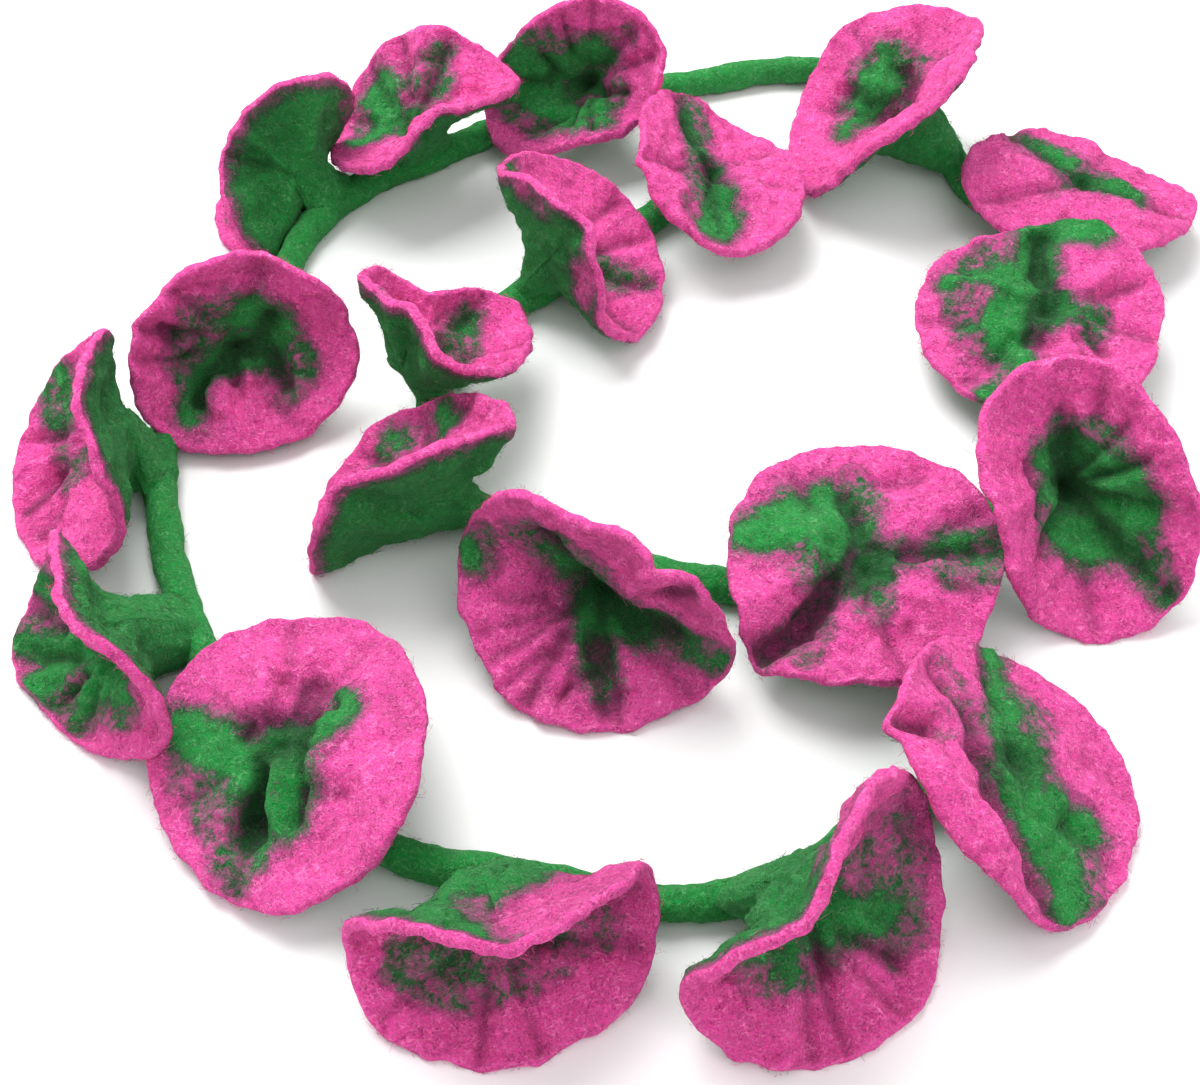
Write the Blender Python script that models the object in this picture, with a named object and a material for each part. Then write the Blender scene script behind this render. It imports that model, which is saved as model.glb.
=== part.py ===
"""Felt flower garland, lying in a loose spiral.

One soft felt rope runs through the whole garland, and twenty felt blooms sit on it, each a
trumpet of thick felt whose narrow heart is felted onto the rope. Every bloom is one loft from
its neck on the rope, out over its back, round its rim and down the inside to the heart. The
felt is pressed flat wherever it touches the table at z = 0.
"""
import math
from collections import namedtuple

import bmesh
import bpy
from mathutils import Matrix, Vector

MM = 0.001

# Felt
RIM_FELT = 3.6
FLAT_RADIUS = 43.0
FOLDS_FROM = 0.2
HEART_FELT = 8.5
STEEP_FELT = 9.0
CALYX_SHARE = 0.6
FLARE = 0.05
CUP_DEPTH = 4.5
THROAT_SHARE = 0.5
THROAT_ROOM = 13.0
THROAT_MOST = 10.0
RIM_ROUND = 1.3
PRESSED = 1.7
GAP = 0.42

# Rope
ROPE_RADIUS = 5.4
ROPE_SWELL = 1.1
SWELL_REACH = 26.0
ROPE_SIDES = 8
ROPE_POINTS = 68

# Neck that joins a bloom to the rope
NECK_RADIUS = 6.8
NECK_ALONG = 1.0
NECK_LENGTH = 9.0
NECK_SEAT = 0.5

# The middle of the blooms' outline on the table, which goes to the origin
MIDDLE = (12.885, 29.622)

# Loft
SEGMENTS = 28
BACK_SHARES = (0.22, 0.45, 0.72, 1.0)
FACE_SHARES = (1.0, 0.82, 0.64, 0.47, 0.3, 0.15)

# The rope's way from the outer end of the spiral to the inner one: x, y in millimetres.
ROUTE = (
    (116, -92), (97, -97), (80, -105), (63, -119), (45, -128), (18, -132), (-14, -126),
    (-45, -121), (-70, -110), (-92, -88), (-116, -60), (-132, -30), (-143, 2), (-149, 34),
    (-144, 56), (-130, 76), (-121, 108), (-112, 144), (-95, 170), (-68, 189), (-35, 211),
    (0, 227), (38, 237), (80, 246), (112, 238), (134, 208), (147, 166), (174, 153),
    (183, 128), (162, 90), (157, 48), (138, 15), (100, -9), (60, -22), (22, -17),
    (-18, 0), (-48, 16), (-58, 55), (-50, 90), (-22, 115), (12, 147), (41, 174),
)

# A bloom's heart is x, y, z of the bottom of its cup. It faces a compass direction and a tilt
# above level, in degrees. Each rib runs from the heart to the rim. Looking into the bloom,
# "around" starts at the right and turns over the top, "lean" is how far the rib leans away
# from the facing direction, and "length" is the felt's length along it in millimetres. A fold is
# a soft trough in the felt, or a ridge if its depth is below zero. Its run goes through places
# given as around and share of the way to the rim, and its width and depth are in millimetres.
# "flare" is how far the ribs bend outward like a trumpet, as a share of their length.
Rib = namedtuple("Rib", "around lean length")
Fold = namedtuple("Fold", "width depth run")
Bloom = namedtuple("Bloom", "heart facing ribs flare folds")


def fold(width, depth, *run):
    return Fold(width, depth, run)


def bloom(heart, compass, tilt, *ribs, flare=FLARE, folds=()):
    facing = (math.radians(compass), math.radians(tilt))
    return Bloom(Vector(heart), facing, [Rib(*r) for r in ribs], flare, folds)


BLOOMS = (
    bloom((117, -94, 18), -40, 62,
          (20, 113, 44), (60, 101, 41), (95, 83, 40), (125, 73, 44), (160, 64, 46),
          (200, 66, 45), (240, 78, 49), (285, 83, 44), (335, 98, 43),
          folds=(fold(15, 3.5, (100, 0.45), (184, 0.5), (228, 0.95)), fold(13, -3, (150, 0.85), (205, 0.85)))),
    bloom((54, -138, 20), -55, 28,
          (15, 85, 45), (57, 65, 44), (94, 44, 43), (130, 40, 44), (155, 57, 43),
          (188, 85, 43), (220, 70, 45), (255, 55, 43), (295, 57, 44), (336, 76, 44),
          flare=-0.04),
    bloom((-30, -134, 15), -80, 20,
          (12, 73, 46), (35, 45, 45), (55, 30, 46), (92, 23, 47), (126, 34, 44),
          (150, 52, 41), (178, 74, 42), (210, 58, 46), (256, 38, 46), (300, 40, 46), (335, 58, 48)),
    bloom((-91, -90, 18), -90, 85,
          (0, 66, 45), (31, 72, 44), (62, 84, 45), (99, 92, 46), (140, 94, 45),
          (180, 103, 43), (225, 104, 42), (262, 97, 47), (291, 87, 48), (325, 71, 48),
          folds=(fold(20, -6, (125, 0.3), (110, 0.5)), fold(11, 5, (4, 0.2), (68, 0.26), (72, 0.5)),
                 fold(11, 5, (216, 0.2), (252, 0.36), (248, 0.6)), fold(11, -3.5, (8, 0.34), (304, 0.3)))),
    bloom((-146, -52, 16), 220, 20,
          (5, 77, 42), (38, 65, 42), (65, 50, 43), (100, 55, 38), (145, 76, 39),
          (180, 80, 39), (215, 64, 41), (253, 49, 32), (295, 51, 31), (330, 63, 35),
          flare=-0.08),
    bloom((-160, 30, 17), 200, 25,
          (6, 76, 48), (35, 64, 47), (62, 55, 44), (97, 60, 38), (142, 77, 37),
          (192, 63, 39), (231, 53, 42), (270, 46, 42), (317, 56, 48), (341, 70, 49),
          flare=-0.08),
    bloom((-128, 76, 15), -80, 40,
          (5, 64, 46), (35, 55, 44), (69, 50, 42), (100, 43, 43), (135, 41, 42),
          (180, 46, 43), (220, 56, 43.5), (265, 52, 43), (300, 55, 44), (335, 63, 46),
          folds=(fold(13, 4.5, (32, 0.42), (0, 0.2), (228, 0.3), (232, 0.6)), fold(11, -3, (252, 0.4), (262, 0.8)),
                 fold(11, 3.5, (348, 0.3), (318, 0.55)), fold(12, 3, (150, 0.8), (165, 0.6)))),
    bloom((-111, 162, 16), 150, 20,
          (12, 50, 36), (35, 40, 36), (65, 42, 38), (89, 55, 41), (110, 67, 43), (124, 76, 41),
          (140, 80, 35), (165, 74, 30), (195, 64, 29), (220, 55, 34), (242, 44, 37), (266, 38, 39),
          (293, 41, 39), (318, 56, 40), (343, 99, 40), (357, 76, 38),
          flare=0),
    bloom((-72, 186, 17), -90, 80,
          (21, 65, 46), (50, 60, 44), (80, 56, 44), (110, 70, 42), (140, 93, 37), (168, 100, 33),
          (205, 80, 34), (235, 63, 38), (260, 51, 41), (283, 32, 40), (314, 29, 40), (346, 43, 41)),
    bloom((-4, 219, 18), -105, 40,
          (6, 52, 40), (40, 56, 41), (84, 46, 41), (125, 38, 41), (165, 45, 40),
          (205, 64, 44), (231, 58, 46), (260, 42, 40), (297, 35, 39), (335, 49, 37)),
    bloom((119, 194, 20), 178, 48,
          (6, 56, 49), (45, 61, 49), (85, 68, 46), (125, 78, 46), (160, 68, 48),
          (190, 57, 49), (230, 65, 47), (278, 69, 47), (312, 69, 50), (346, 58, 48)),
    bloom((183, 157, 18), -90, 80,
          (24, 108, 40), (60, 113, 40), (96, 108, 41), (125, 97, 41), (164, 89, 46),
          (192, 87, 43), (230, 80, 40), (273, 74, 40), (318, 80, 40), (352, 92, 43)),
    bloom((157, 87, 18), -90, 82,
          (17, 87, 44), (55, 82, 46), (98, 88, 40), (135, 94, 45), (175, 93, 45),
          (215, 88, 46), (260, 82, 45), (300, 77, 44), (345, 84, 40),
          folds=(fold(13, 6.5, (84, 0.9), (88, 0.48), (76, 0.2), (240, 0.3)), fold(20, -3.5, (36, 0.7), (24, 0.4)),
                 fold(11, 3, (332, 0.32), (312, 0.6)), fold(13, -2.5, (150, 0.45), (190, 0.5)))),
    bloom((151, 9, 18), -95, 47,
          (11, 45, 44), (50, 47, 43), (90, 61, 46), (130, 62, 45), (165, 48, 45),
          (197, 36, 45), (230, 43, 46), (265, 61, 50), (300, 67, 53), (335, 59, 48),
          folds=(fold(11, 3, (116, 0.3), (312, 0.5), (316, 0.95)), fold(11, 3, (160, 0.5), (215, 0.5)))),
    bloom((83, -26, 18), -90, 88,
          (25, 78, 46), (60, 83, 48), (100, 86, 49), (140, 83, 47), (180, 80, 44),
          (224, 86, 47), (262, 85, 42), (300, 93, 40), (325, 91, 40), (350, 80, 41),
          folds=(fold(12, 7, (104, 0.15), (216, 0.3), (224, 0.64), (220, 1.0)), fold(12, 4.5, (100, 0.6), (96, 0.3)),
                 fold(15, -4, (200, 0.5), (205, 0.85)), fold(24, -3, (152, 0.45), (155, 0.6)),
                 fold(12, 3, (16, 0.3), (8, 0.94)), fold(16, -3, (318, 0.45), (322, 0.6)))),
    bloom((0, -31, 16), -108, 35,
          (5, 67, 46), (25, 50, 45), (60, 42, 46), (105, 43, 45), (140, 64, 46),
          (170, 78, 46), (205, 60, 43), (245, 49, 45), (290, 54, 45), (322, 68, 45), (348, 77, 48),
          folds=(fold(13, -4, (40, 0.7), (44, 0.9)), fold(11, 4, (22, 0.7), (26, 1.0)),
                 fold(11, 3, (284, 0.3), (292, 0.9)), fold(11, 3, (246, 0.4), (252, 0.95)))),
    bloom((-52, 3, 18), 160, 40,
          (15, 38, 44), (45, 44, 44), (75, 61, 44), (110, 79, 40), (150, 74, 37),
          (190, 64, 40), (225, 56, 44), (260, 57, 46), (285, 65, 47), (310, 69, 47), (335, 56, 45),
          flare=-0.1),
    bloom((-61, 62, 18), 29, 63,
          (8, 43, 28), (26, 51, 37), (45, 50, 39), (68, 44, 39), (90, 37, 39), (112, 33, 39),
          (132, 38, 41), (150, 49, 42), (182, 50, 39), (210, 49, 37), (240, 51, 37), (264, 56, 40),
          (284, 57, 42), (304, 51, 36), (322, 42, 29), (345, 36, 26),
          flare=-0.12),
    bloom((-20, 114, 18), -5, 40,
          (7, 68, 43), (40, 76, 41), (72, 74, 39), (94, 50, 41), (135, 31, 44),
          (175, 40, 44), (205, 58, 43), (250, 54, 44), (300, 49, 44), (346, 57, 44),
          flare=-0.05),
    bloom((42, 163, 17), -80, 78,
          (10, 88, 35), (45, 104, 36), (75, 99, 39), (100, 78, 40), (130, 59, 37),
          (165, 48, 36), (200, 50, 38), (235, 61, 41), (273, 77, 43), (305, 72, 42), (335, 74, 37),
          folds=(fold(14, 3.5, (100, 0.9), (105, 0.4), (255, 0.3), (262, 0.65)),)),
)


def smooth(before, here, there, after, t):
    """Catmull-Rom: the value between here and there."""
    a = 2 * here
    b = there - before
    c = 2 * before - 5 * here + 4 * there - after
    d = 3 * here - before - 3 * there + after
    return 0.5 * (a + b * t + c * t * t + d * t ** 3)


def rope_way(points):
    """Evenly spaced places along the route's smooth curve, with the share of its length at each."""
    knots = [Vector(p) for p in points]
    knots = [2 * knots[0] - knots[1]] + knots + [2 * knots[-1] - knots[-2]]
    fine = []
    for i in range(1, len(knots) - 2):
        fine += [smooth(*knots[i - 1:i + 3], step / 12) for step in range(12)]
    fine.append(knots[-2])
    travelled = [0.0]
    for a, b in zip(fine, fine[1:]):
        travelled.append(travelled[-1] + (b - a).length)
    way = []
    for k in range(ROPE_POINTS):
        target = travelled[-1] * k / (ROPE_POINTS - 1)
        i = max(1, next(n for n, d in enumerate(travelled) if d >= target - 1e-6))
        t = (target - travelled[i - 1]) / (travelled[i] - travelled[i - 1])
        way.append(fine[i - 1].lerp(fine[i], t))
    return way


WAY = rope_way(ROUTE)


def rope_radius(place):
    """The rope is thicker where the wool of a bloom runs into it."""
    nearest = min((place - b.heart.xy).length for b in BLOOMS)
    return ROPE_RADIUS + ROPE_SWELL * max(0.0, 1 - nearest / SWELL_REACH)


def centre_height(radius):
    return radius * math.cos(math.pi / ROPE_SIDES)


def tube(name, places, extra=0.0):
    """The rope as a curve: flat side down, on the table. "extra" fattens it for a cutter."""
    curve = bpy.data.curves.new(name, "CURVE")
    curve.dimensions = "3D"
    curve.twist_mode = "Z_UP"
    curve.bevel_depth = MM
    curve.bevel_resolution = ROPE_SIDES // 2 - 2
    curve.use_fill_caps = True
    spline = curve.splines.new("POLY")
    spline.points.add(len(places) - 1)
    for point, place in zip(spline.points, places):
        radius = rope_radius(place)
        point.co = (place.x * MM, place.y * MM, centre_height(radius) * MM, 1)
        point.radius = radius + extra
        point.tilt = math.pi / ROPE_SIDES
    thing = bpy.data.objects.new(name, curve)
    return thing


def as_mesh(thing):
    """A curve's evaluated surface as a closed mesh object of the same name."""
    depsgraph = bpy.context.evaluated_depsgraph_get()
    mesh = bpy.data.meshes.new_from_object(thing.evaluated_get(depsgraph))
    work = bmesh.new()
    work.from_mesh(mesh)
    bmesh.ops.remove_doubles(work, verts=work.verts, dist=1e-5)
    work.to_mesh(mesh)
    work.free()
    solid = bpy.data.objects.new(thing.name, mesh)
    solid.matrix_world = thing.matrix_world
    bpy.data.objects.remove(thing)
    return solid


def frame_of(b):
    """The bloom's facing, and its right and top as one looks into it."""
    compass, tilt = b.facing
    ahead = Vector((math.cos(tilt) * math.cos(compass), math.cos(tilt) * math.sin(compass), math.sin(tilt)))
    right = Vector((-math.sin(compass), math.cos(compass), 0))
    return ahead, right, ahead.cross(right)


def rib_at(b, around):
    """Lean in radians and length of the felt at any angle, smooth between the bloom's ribs."""
    ribs = sorted(b.ribs)
    around %= 360
    n = len(ribs)
    i = max((k for k in range(n) if ribs[k].around <= around), default=-1)
    span = (ribs[(i + 1) % n].around - ribs[i].around) % 360
    t = ((around - ribs[i].around) % 360) / span
    four = [ribs[(i + k) % n] for k in (-1, 0, 1, 2)]
    lean = smooth(*[r.lean for r in four], t)
    length = smooth(*[r.length for r in four], t) - 0.8 * RIM_ROUND
    return math.radians(lean), length


def rope_beside(b):
    """The middle of the rope where the bloom's neck meets it, and the rope's radius and run there."""
    aim = (b.heart - NECK_LENGTH * frame_of(b)[0]).xy
    k = min(range(ROPE_POINTS), key=lambda n: (WAY[n] - aim).length)
    radius = rope_radius(WAY[k])
    run = WAY[min(k + 1, ROPE_POINTS - 1)] - WAY[max(k - 1, 0)]
    return Vector((*WAY[k], centre_height(radius))), radius, Vector((*run, 0)).normalized()


def throat_depth(b):
    """How far the narrow throat runs on behind the heart, towards the rope."""
    room = (rope_beside(b)[0] - b.heart).length - THROAT_ROOM
    return min(max(room, 0.0), THROAT_MOST)


def on_flat(around, share):
    """The same place on a bloom's felt if it was spread out flat."""
    turn = math.radians(around)
    return Vector((math.cos(turn), math.sin(turn))) * FLAT_RADIUS * share


def fold_depth(b, around, share):
    """How far the bloom's folds push the felt towards its back."""
    place = on_flat(around, share)
    push = 0.0
    for f in b.folds:
        run = [on_flat(*stop) for stop in f.run]
        gap = FLAT_RADIUS
        for start, end in zip(run, run[1:]):
            step = end - start
            t = min(max((place - start).dot(step) / step.length_squared, 0.0), 1.0)
            gap = min(gap, (place - start - t * step).length)
        push += f.depth * math.exp(-(2 * gap / f.width) ** 2)
    return push * min(1.0, max(0.0, (share - FOLDS_FROM) * 5))


def face_point(b, around, share):
    """A place on the inside of the cup: share 0 is the end of the throat and 1 is the rim."""
    ahead, right, top = frame_of(b)
    lean, length = rib_at(b, around)
    reach, rise = length * math.sin(lean), length * math.cos(lean)
    flare = b.flare * length * abs(math.sin(2 * lean))
    bend_out = reach / 2 - flare * math.cos(lean)
    bend_up = rise / 2 + flare * math.sin(lean)
    out = 2 * share * (1 - share) * bend_out + share ** 2 * reach
    up = 2 * share * (1 - share) * bend_up + share ** 2 * rise
    up += CUP_DEPTH * 9.5 * share * (1 - share) ** 3
    up -= throat_depth(b) * max(0.0, 1 - share / THROAT_SHARE) ** 1.5
    turn = math.radians(around)
    spoke = math.cos(turn) * right + math.sin(turn) * top
    push = fold_depth(b, around, share)
    out += push * math.cos(lean)
    up -= push * math.sin(lean)
    place = b.heart + out * spoke + up * ahead
    place.z = max(place.z, RIM_FELT)
    return place


def back_point(b, around, share):
    """The same place on the bloom's back. The felt is thickest round the heart of a steep cup."""
    ahead = frame_of(b)[0]
    here = face_point(b, around, share)
    along = face_point(b, around, min(share + 0.04, 1.0)) - face_point(b, around, share - 0.04)
    across = face_point(b, around + 6, share) - face_point(b, around - 6, share)
    away = across.cross(along).normalized()
    near_heart = max(0.0, 1 - share / CALYX_SHARE)
    steep = max(0.0, math.cos(rib_at(b, around)[0])) * math.cos(b.facing[1])
    away = (away.lerp(-ahead, (0.55 - 0.4 * steep) * near_heart)).normalized()
    felt = RIM_FELT + (HEART_FELT + STEEP_FELT * steep - RIM_FELT) * near_heart
    return here + away * felt


def on_table(place, least=0.0):
    """Felt lower than the table, or a hair above it, lies pressed flat on it."""
    if place.z < least + PRESSED:
        place.z = least
    return place


def neck_end(b):
    """The end of the neck, drawn out along the rope, a little above the middle of the rope."""
    ahead, right, top = frame_of(b)
    anchor, radius, run = rope_beside(b)
    to_rope = (anchor - b.heart).normalized()
    centre = anchor - to_rope * radius * NECK_SEAT
    turn = (-ahead).rotation_difference(to_rope)
    ring = []
    for k in range(SEGMENTS):
        angle = 2 * math.pi * k / SEGMENTS
        spoke = turn @ (math.cos(angle) * right + math.sin(angle) * top)
        spoke += NECK_ALONG * spoke.dot(run) * run
        ring.append(on_table(centre + NECK_RADIUS * spoke))
    return ring, on_table(centre.copy())


def bloom_mesh(name, b):
    """One closed loft: neck, back, rim, inside and heart."""
    angles = [360 * k / SEGMENTS for k in range(SEGMENTS)]
    end_ring, end_centre = neck_end(b)
    backs = [[on_table(back_point(b, a, share)) for a in angles] for share in BACK_SHARES]
    throat = [low.lerp(high, 0.55) for low, high in zip(end_ring, backs[0])]
    rings = [end_ring, throat, *backs]
    edge = []
    for a in angles:
        face, back = face_point(b, a, 1.0), back_point(b, a, 1.0)
        outward = (face - face_point(b, a, 0.93)).normalized()
        middle = face.lerp(back, 0.5) + RIM_ROUND * outward
        pressed = on_table(back.copy()).z == 0
        middle.z = 0.0 if pressed else max(middle.z, RIM_ROUND)
        edge.append(middle)
    rings.append(edge)
    for share in FACE_SHARES:
        rings.append([face_point(b, a, share) for a in angles])
    work = bmesh.new()
    loops = [[work.verts.new(p * MM) for p in ring] for ring in rings]
    for low, high in zip(loops, loops[1:]):
        for k in range(SEGMENTS):
            j = (k + 1) % SEGMENTS
            work.faces.new((low[k], low[j], high[j], high[k]))
    neck_tip = work.verts.new(end_centre * MM)
    heart_tip = work.verts.new(face_point(b, 0, 0.0) * MM)
    for k in range(SEGMENTS):
        j = (k + 1) % SEGMENTS
        work.faces.new((loops[0][j], loops[0][k], neck_tip))
        work.faces.new((loops[-1][k], loops[-1][j], heart_tip))
    bmesh.ops.triangulate(work, faces=work.faces)
    mesh = bpy.data.meshes.new(name)
    work.to_mesh(mesh)
    work.free()
    mesh.shade_smooth()
    mesh.set_sharp_from_angle(angle=math.radians(50))
    return mesh


def felt(name, colour):
    material = bpy.data.materials.new(name)
    material.use_nodes = True
    surface = material.node_tree.nodes["Principled BSDF"]
    surface.inputs["Base Color"].default_value = (*colour, 1)
    surface.inputs["Roughness"].default_value = 0.95
    surface.inputs["Metallic"].default_value = 0.0
    return material


def main():
    for thing in list(bpy.data.objects):
        bpy.data.objects.remove(thing)
    garland = bpy.data.collections.new("felt_flower_garland")
    cutters = bpy.data.collections.new("cutters")
    for group in (garland, cutters):
        bpy.context.scene.collection.children.link(group)
    holder = bpy.data.objects.new("garland", None)
    holder.location = (-MIDDLE[0] * MM, -MIDDLE[1] * MM, 0)
    garland.objects.link(holder)
    green = felt("green_felt", (0.02, 0.22, 0.05))
    pink = felt("pink_felt", (0.72, 0.06, 0.36))

    rope = tube("rope", WAY)
    garland.objects.link(rope)
    rope.data.materials.append(green)
    rope.parent = holder

    ends = [end + (end - inner).normalized() * GAP for end, inner in ((WAY[0], WAY[1]), (WAY[-1], WAY[-2]))]
    clearance = tube("rope_clearance", [ends[0], *WAY, ends[1]], GAP)
    cutters.objects.link(clearance)
    bpy.context.view_layer.update()
    clearance = as_mesh(clearance)
    cutters.objects.link(clearance)
    clearance.parent = holder
    clearance.hide_render = True
    clearance.display_type = "WIRE"

    for number, b in enumerate(BLOOMS, 1):
        name = f"bloom_{number:02d}"
        flower = bpy.data.objects.new(name, bloom_mesh(name, b))
        flower.data.materials.append(pink)
        garland.objects.link(flower)
        flower.parent = holder
        notch = flower.modifiers.new("rope notch", "BOOLEAN")
        notch.operation = "DIFFERENCE"
        notch.solver = "EXACT"
        notch.object = clearance


if __name__ == "__main__":
    main()
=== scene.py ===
"""Felt flower garland: its looks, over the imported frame.

One green felt rope lies in a loose spiral, and twenty felt blooms sit on it. Each bloom is worked
out again from the same ribs as the solid it replaces, with finer ruffles, the green and pink wool
that was laid into it, and the loose fibres that stand off felt.
"""
import math
from collections import namedtuple

import bmesh
import bpy
import numpy as np
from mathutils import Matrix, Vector, noise


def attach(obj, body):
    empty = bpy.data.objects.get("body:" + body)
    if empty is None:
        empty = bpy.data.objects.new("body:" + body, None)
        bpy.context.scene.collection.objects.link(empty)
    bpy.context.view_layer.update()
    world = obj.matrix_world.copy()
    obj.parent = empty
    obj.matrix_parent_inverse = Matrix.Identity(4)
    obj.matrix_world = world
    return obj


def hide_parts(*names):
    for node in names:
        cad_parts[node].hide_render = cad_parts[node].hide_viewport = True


bl_info = {
    "name": "Felt flower garland",
    "version": (1, 0, 0),
    "blender": (4, 5, 0),
    "location": "3D View > Sidebar > Garland",
    "description": "Felted rope and blooms of a flower garland, with their wool and loose fibres",
    "category": "Object",
}

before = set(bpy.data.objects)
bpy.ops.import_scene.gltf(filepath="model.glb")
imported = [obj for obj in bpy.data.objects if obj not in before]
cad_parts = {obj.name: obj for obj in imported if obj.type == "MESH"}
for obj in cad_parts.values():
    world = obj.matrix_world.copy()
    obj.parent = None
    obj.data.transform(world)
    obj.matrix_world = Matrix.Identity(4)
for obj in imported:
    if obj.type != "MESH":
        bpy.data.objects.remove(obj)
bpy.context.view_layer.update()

MM = 0.001

# The middle of the blooms' outline on the table, which lies at the origin
MIDDLE = (12.885, 29.622)

# Shapes of felt that the sizes in the panel don't change
FLAT_RADIUS = 43.0
FOLDS_FROM = 0.2
HEART_FELT = 8.5
STEEP_FELT = 9.0
CALYX_SHARE = 0.6
FLARE = 0.05
CUP_DEPTH = 4.5
THROAT_SHARE = 0.5
THROAT_ROOM = 13.0
THROAT_MOST = 10.0
RIM_ROUND = 1.3
ROPE_SWELL = 1.1
SWELL_REACH = 26.0
ROPE_PLACES = 68
NECK_RADIUS = 6.8
NECK_ALONG = 1.0
NECK_LENGTH = 9.0
NECK_SEAT = 0.5

# How finely a bloom is drawn: places around it, rows of its neck, and rows of its sheet. Those are
# the first share of the way from heart to rim, the last one and their number. The neck's tip lies
# in the rope, and each of its rows has a depth in millimetres and a share of the neck's width.
AROUND_PLACES = 169
NECK_STEPS = 8
NEAR_HEART_SHARES = (0.03, 0.2, 6)
SHEET_SHARES = (0.24, 1.0, 25)
TIP = ((6.0, 0), (5.4, 0.4), (3.6, 0.76), (1.7, 0.93))

# How finely the rope is drawn
FINE_ROPE_PLACES = 720
ROPE_AROUND = 33
ROPE_FIBRES = 3000

# Soft relief. The middle of a main fold is pinched, and its shadow is narrower than the fold.
PINCH_WIDTH = 0.34
PINCH_DEPTH = 0.35
SHADOW_WIDTH = 0.52
CREASE_DEPTH = 1.25
LOWEST_INSIDE = 1.6

# Millimetres from all green wool to all pink wool, and the share of its square a round felt fills
DYE_RANGE = 24

# The rope's way from the outer end of the spiral to the inner one: x, y in millimetres.
ROUTE = (
    (116, -92), (97, -97), (80, -105), (63, -119), (45, -128), (18, -132), (-14, -126),
    (-45, -121), (-70, -110), (-92, -88), (-116, -60), (-132, -30), (-143, 2), (-149, 34),
    (-144, 56), (-130, 76), (-121, 108), (-112, 144), (-95, 170), (-68, 189), (-35, 211),
    (0, 227), (38, 237), (80, 246), (112, 238), (134, 208), (147, 166), (174, 153),
    (183, 128), (162, 90), (157, 48), (138, 15), (100, -9), (60, -22), (22, -17),
    (-18, 0), (-48, 16), (-58, 55), (-50, 90), (-22, 115), (12, 147), (41, 174),
)

# A bloom's heart is x, y, z of the bottom of its cup. It faces a compass direction and a tilt
# above level, in degrees. Each rib runs from the heart to the rim. Looking into the bloom,
# "around" starts at the right and turns over the top, "lean" is how far the rib leans away
# from the facing direction, and "length" is the felt's length along it in millimetres. A fold is
# a soft trough in the felt, or a ridge if its depth is below zero. Its run goes through places
# given as around and share of the way to the rim, and its width and depth are in millimetres.
# "flare" is how far the ribs bend outward like a trumpet, as a share of their length.
Rib = namedtuple("Rib", "around lean length")
Fold = namedtuple("Fold", "width depth run")
Bloom = namedtuple("Bloom", "heart facing ribs flare folds")


def fold(width, depth, *run):
    return Fold(width, depth, run)


def bloom(heart, compass, tilt, *ribs, flare=FLARE, folds=()):
    facing = (math.radians(compass), math.radians(tilt))
    return Bloom(np.array(heart, float), facing, sorted(Rib(*r) for r in ribs), flare, folds)


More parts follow.
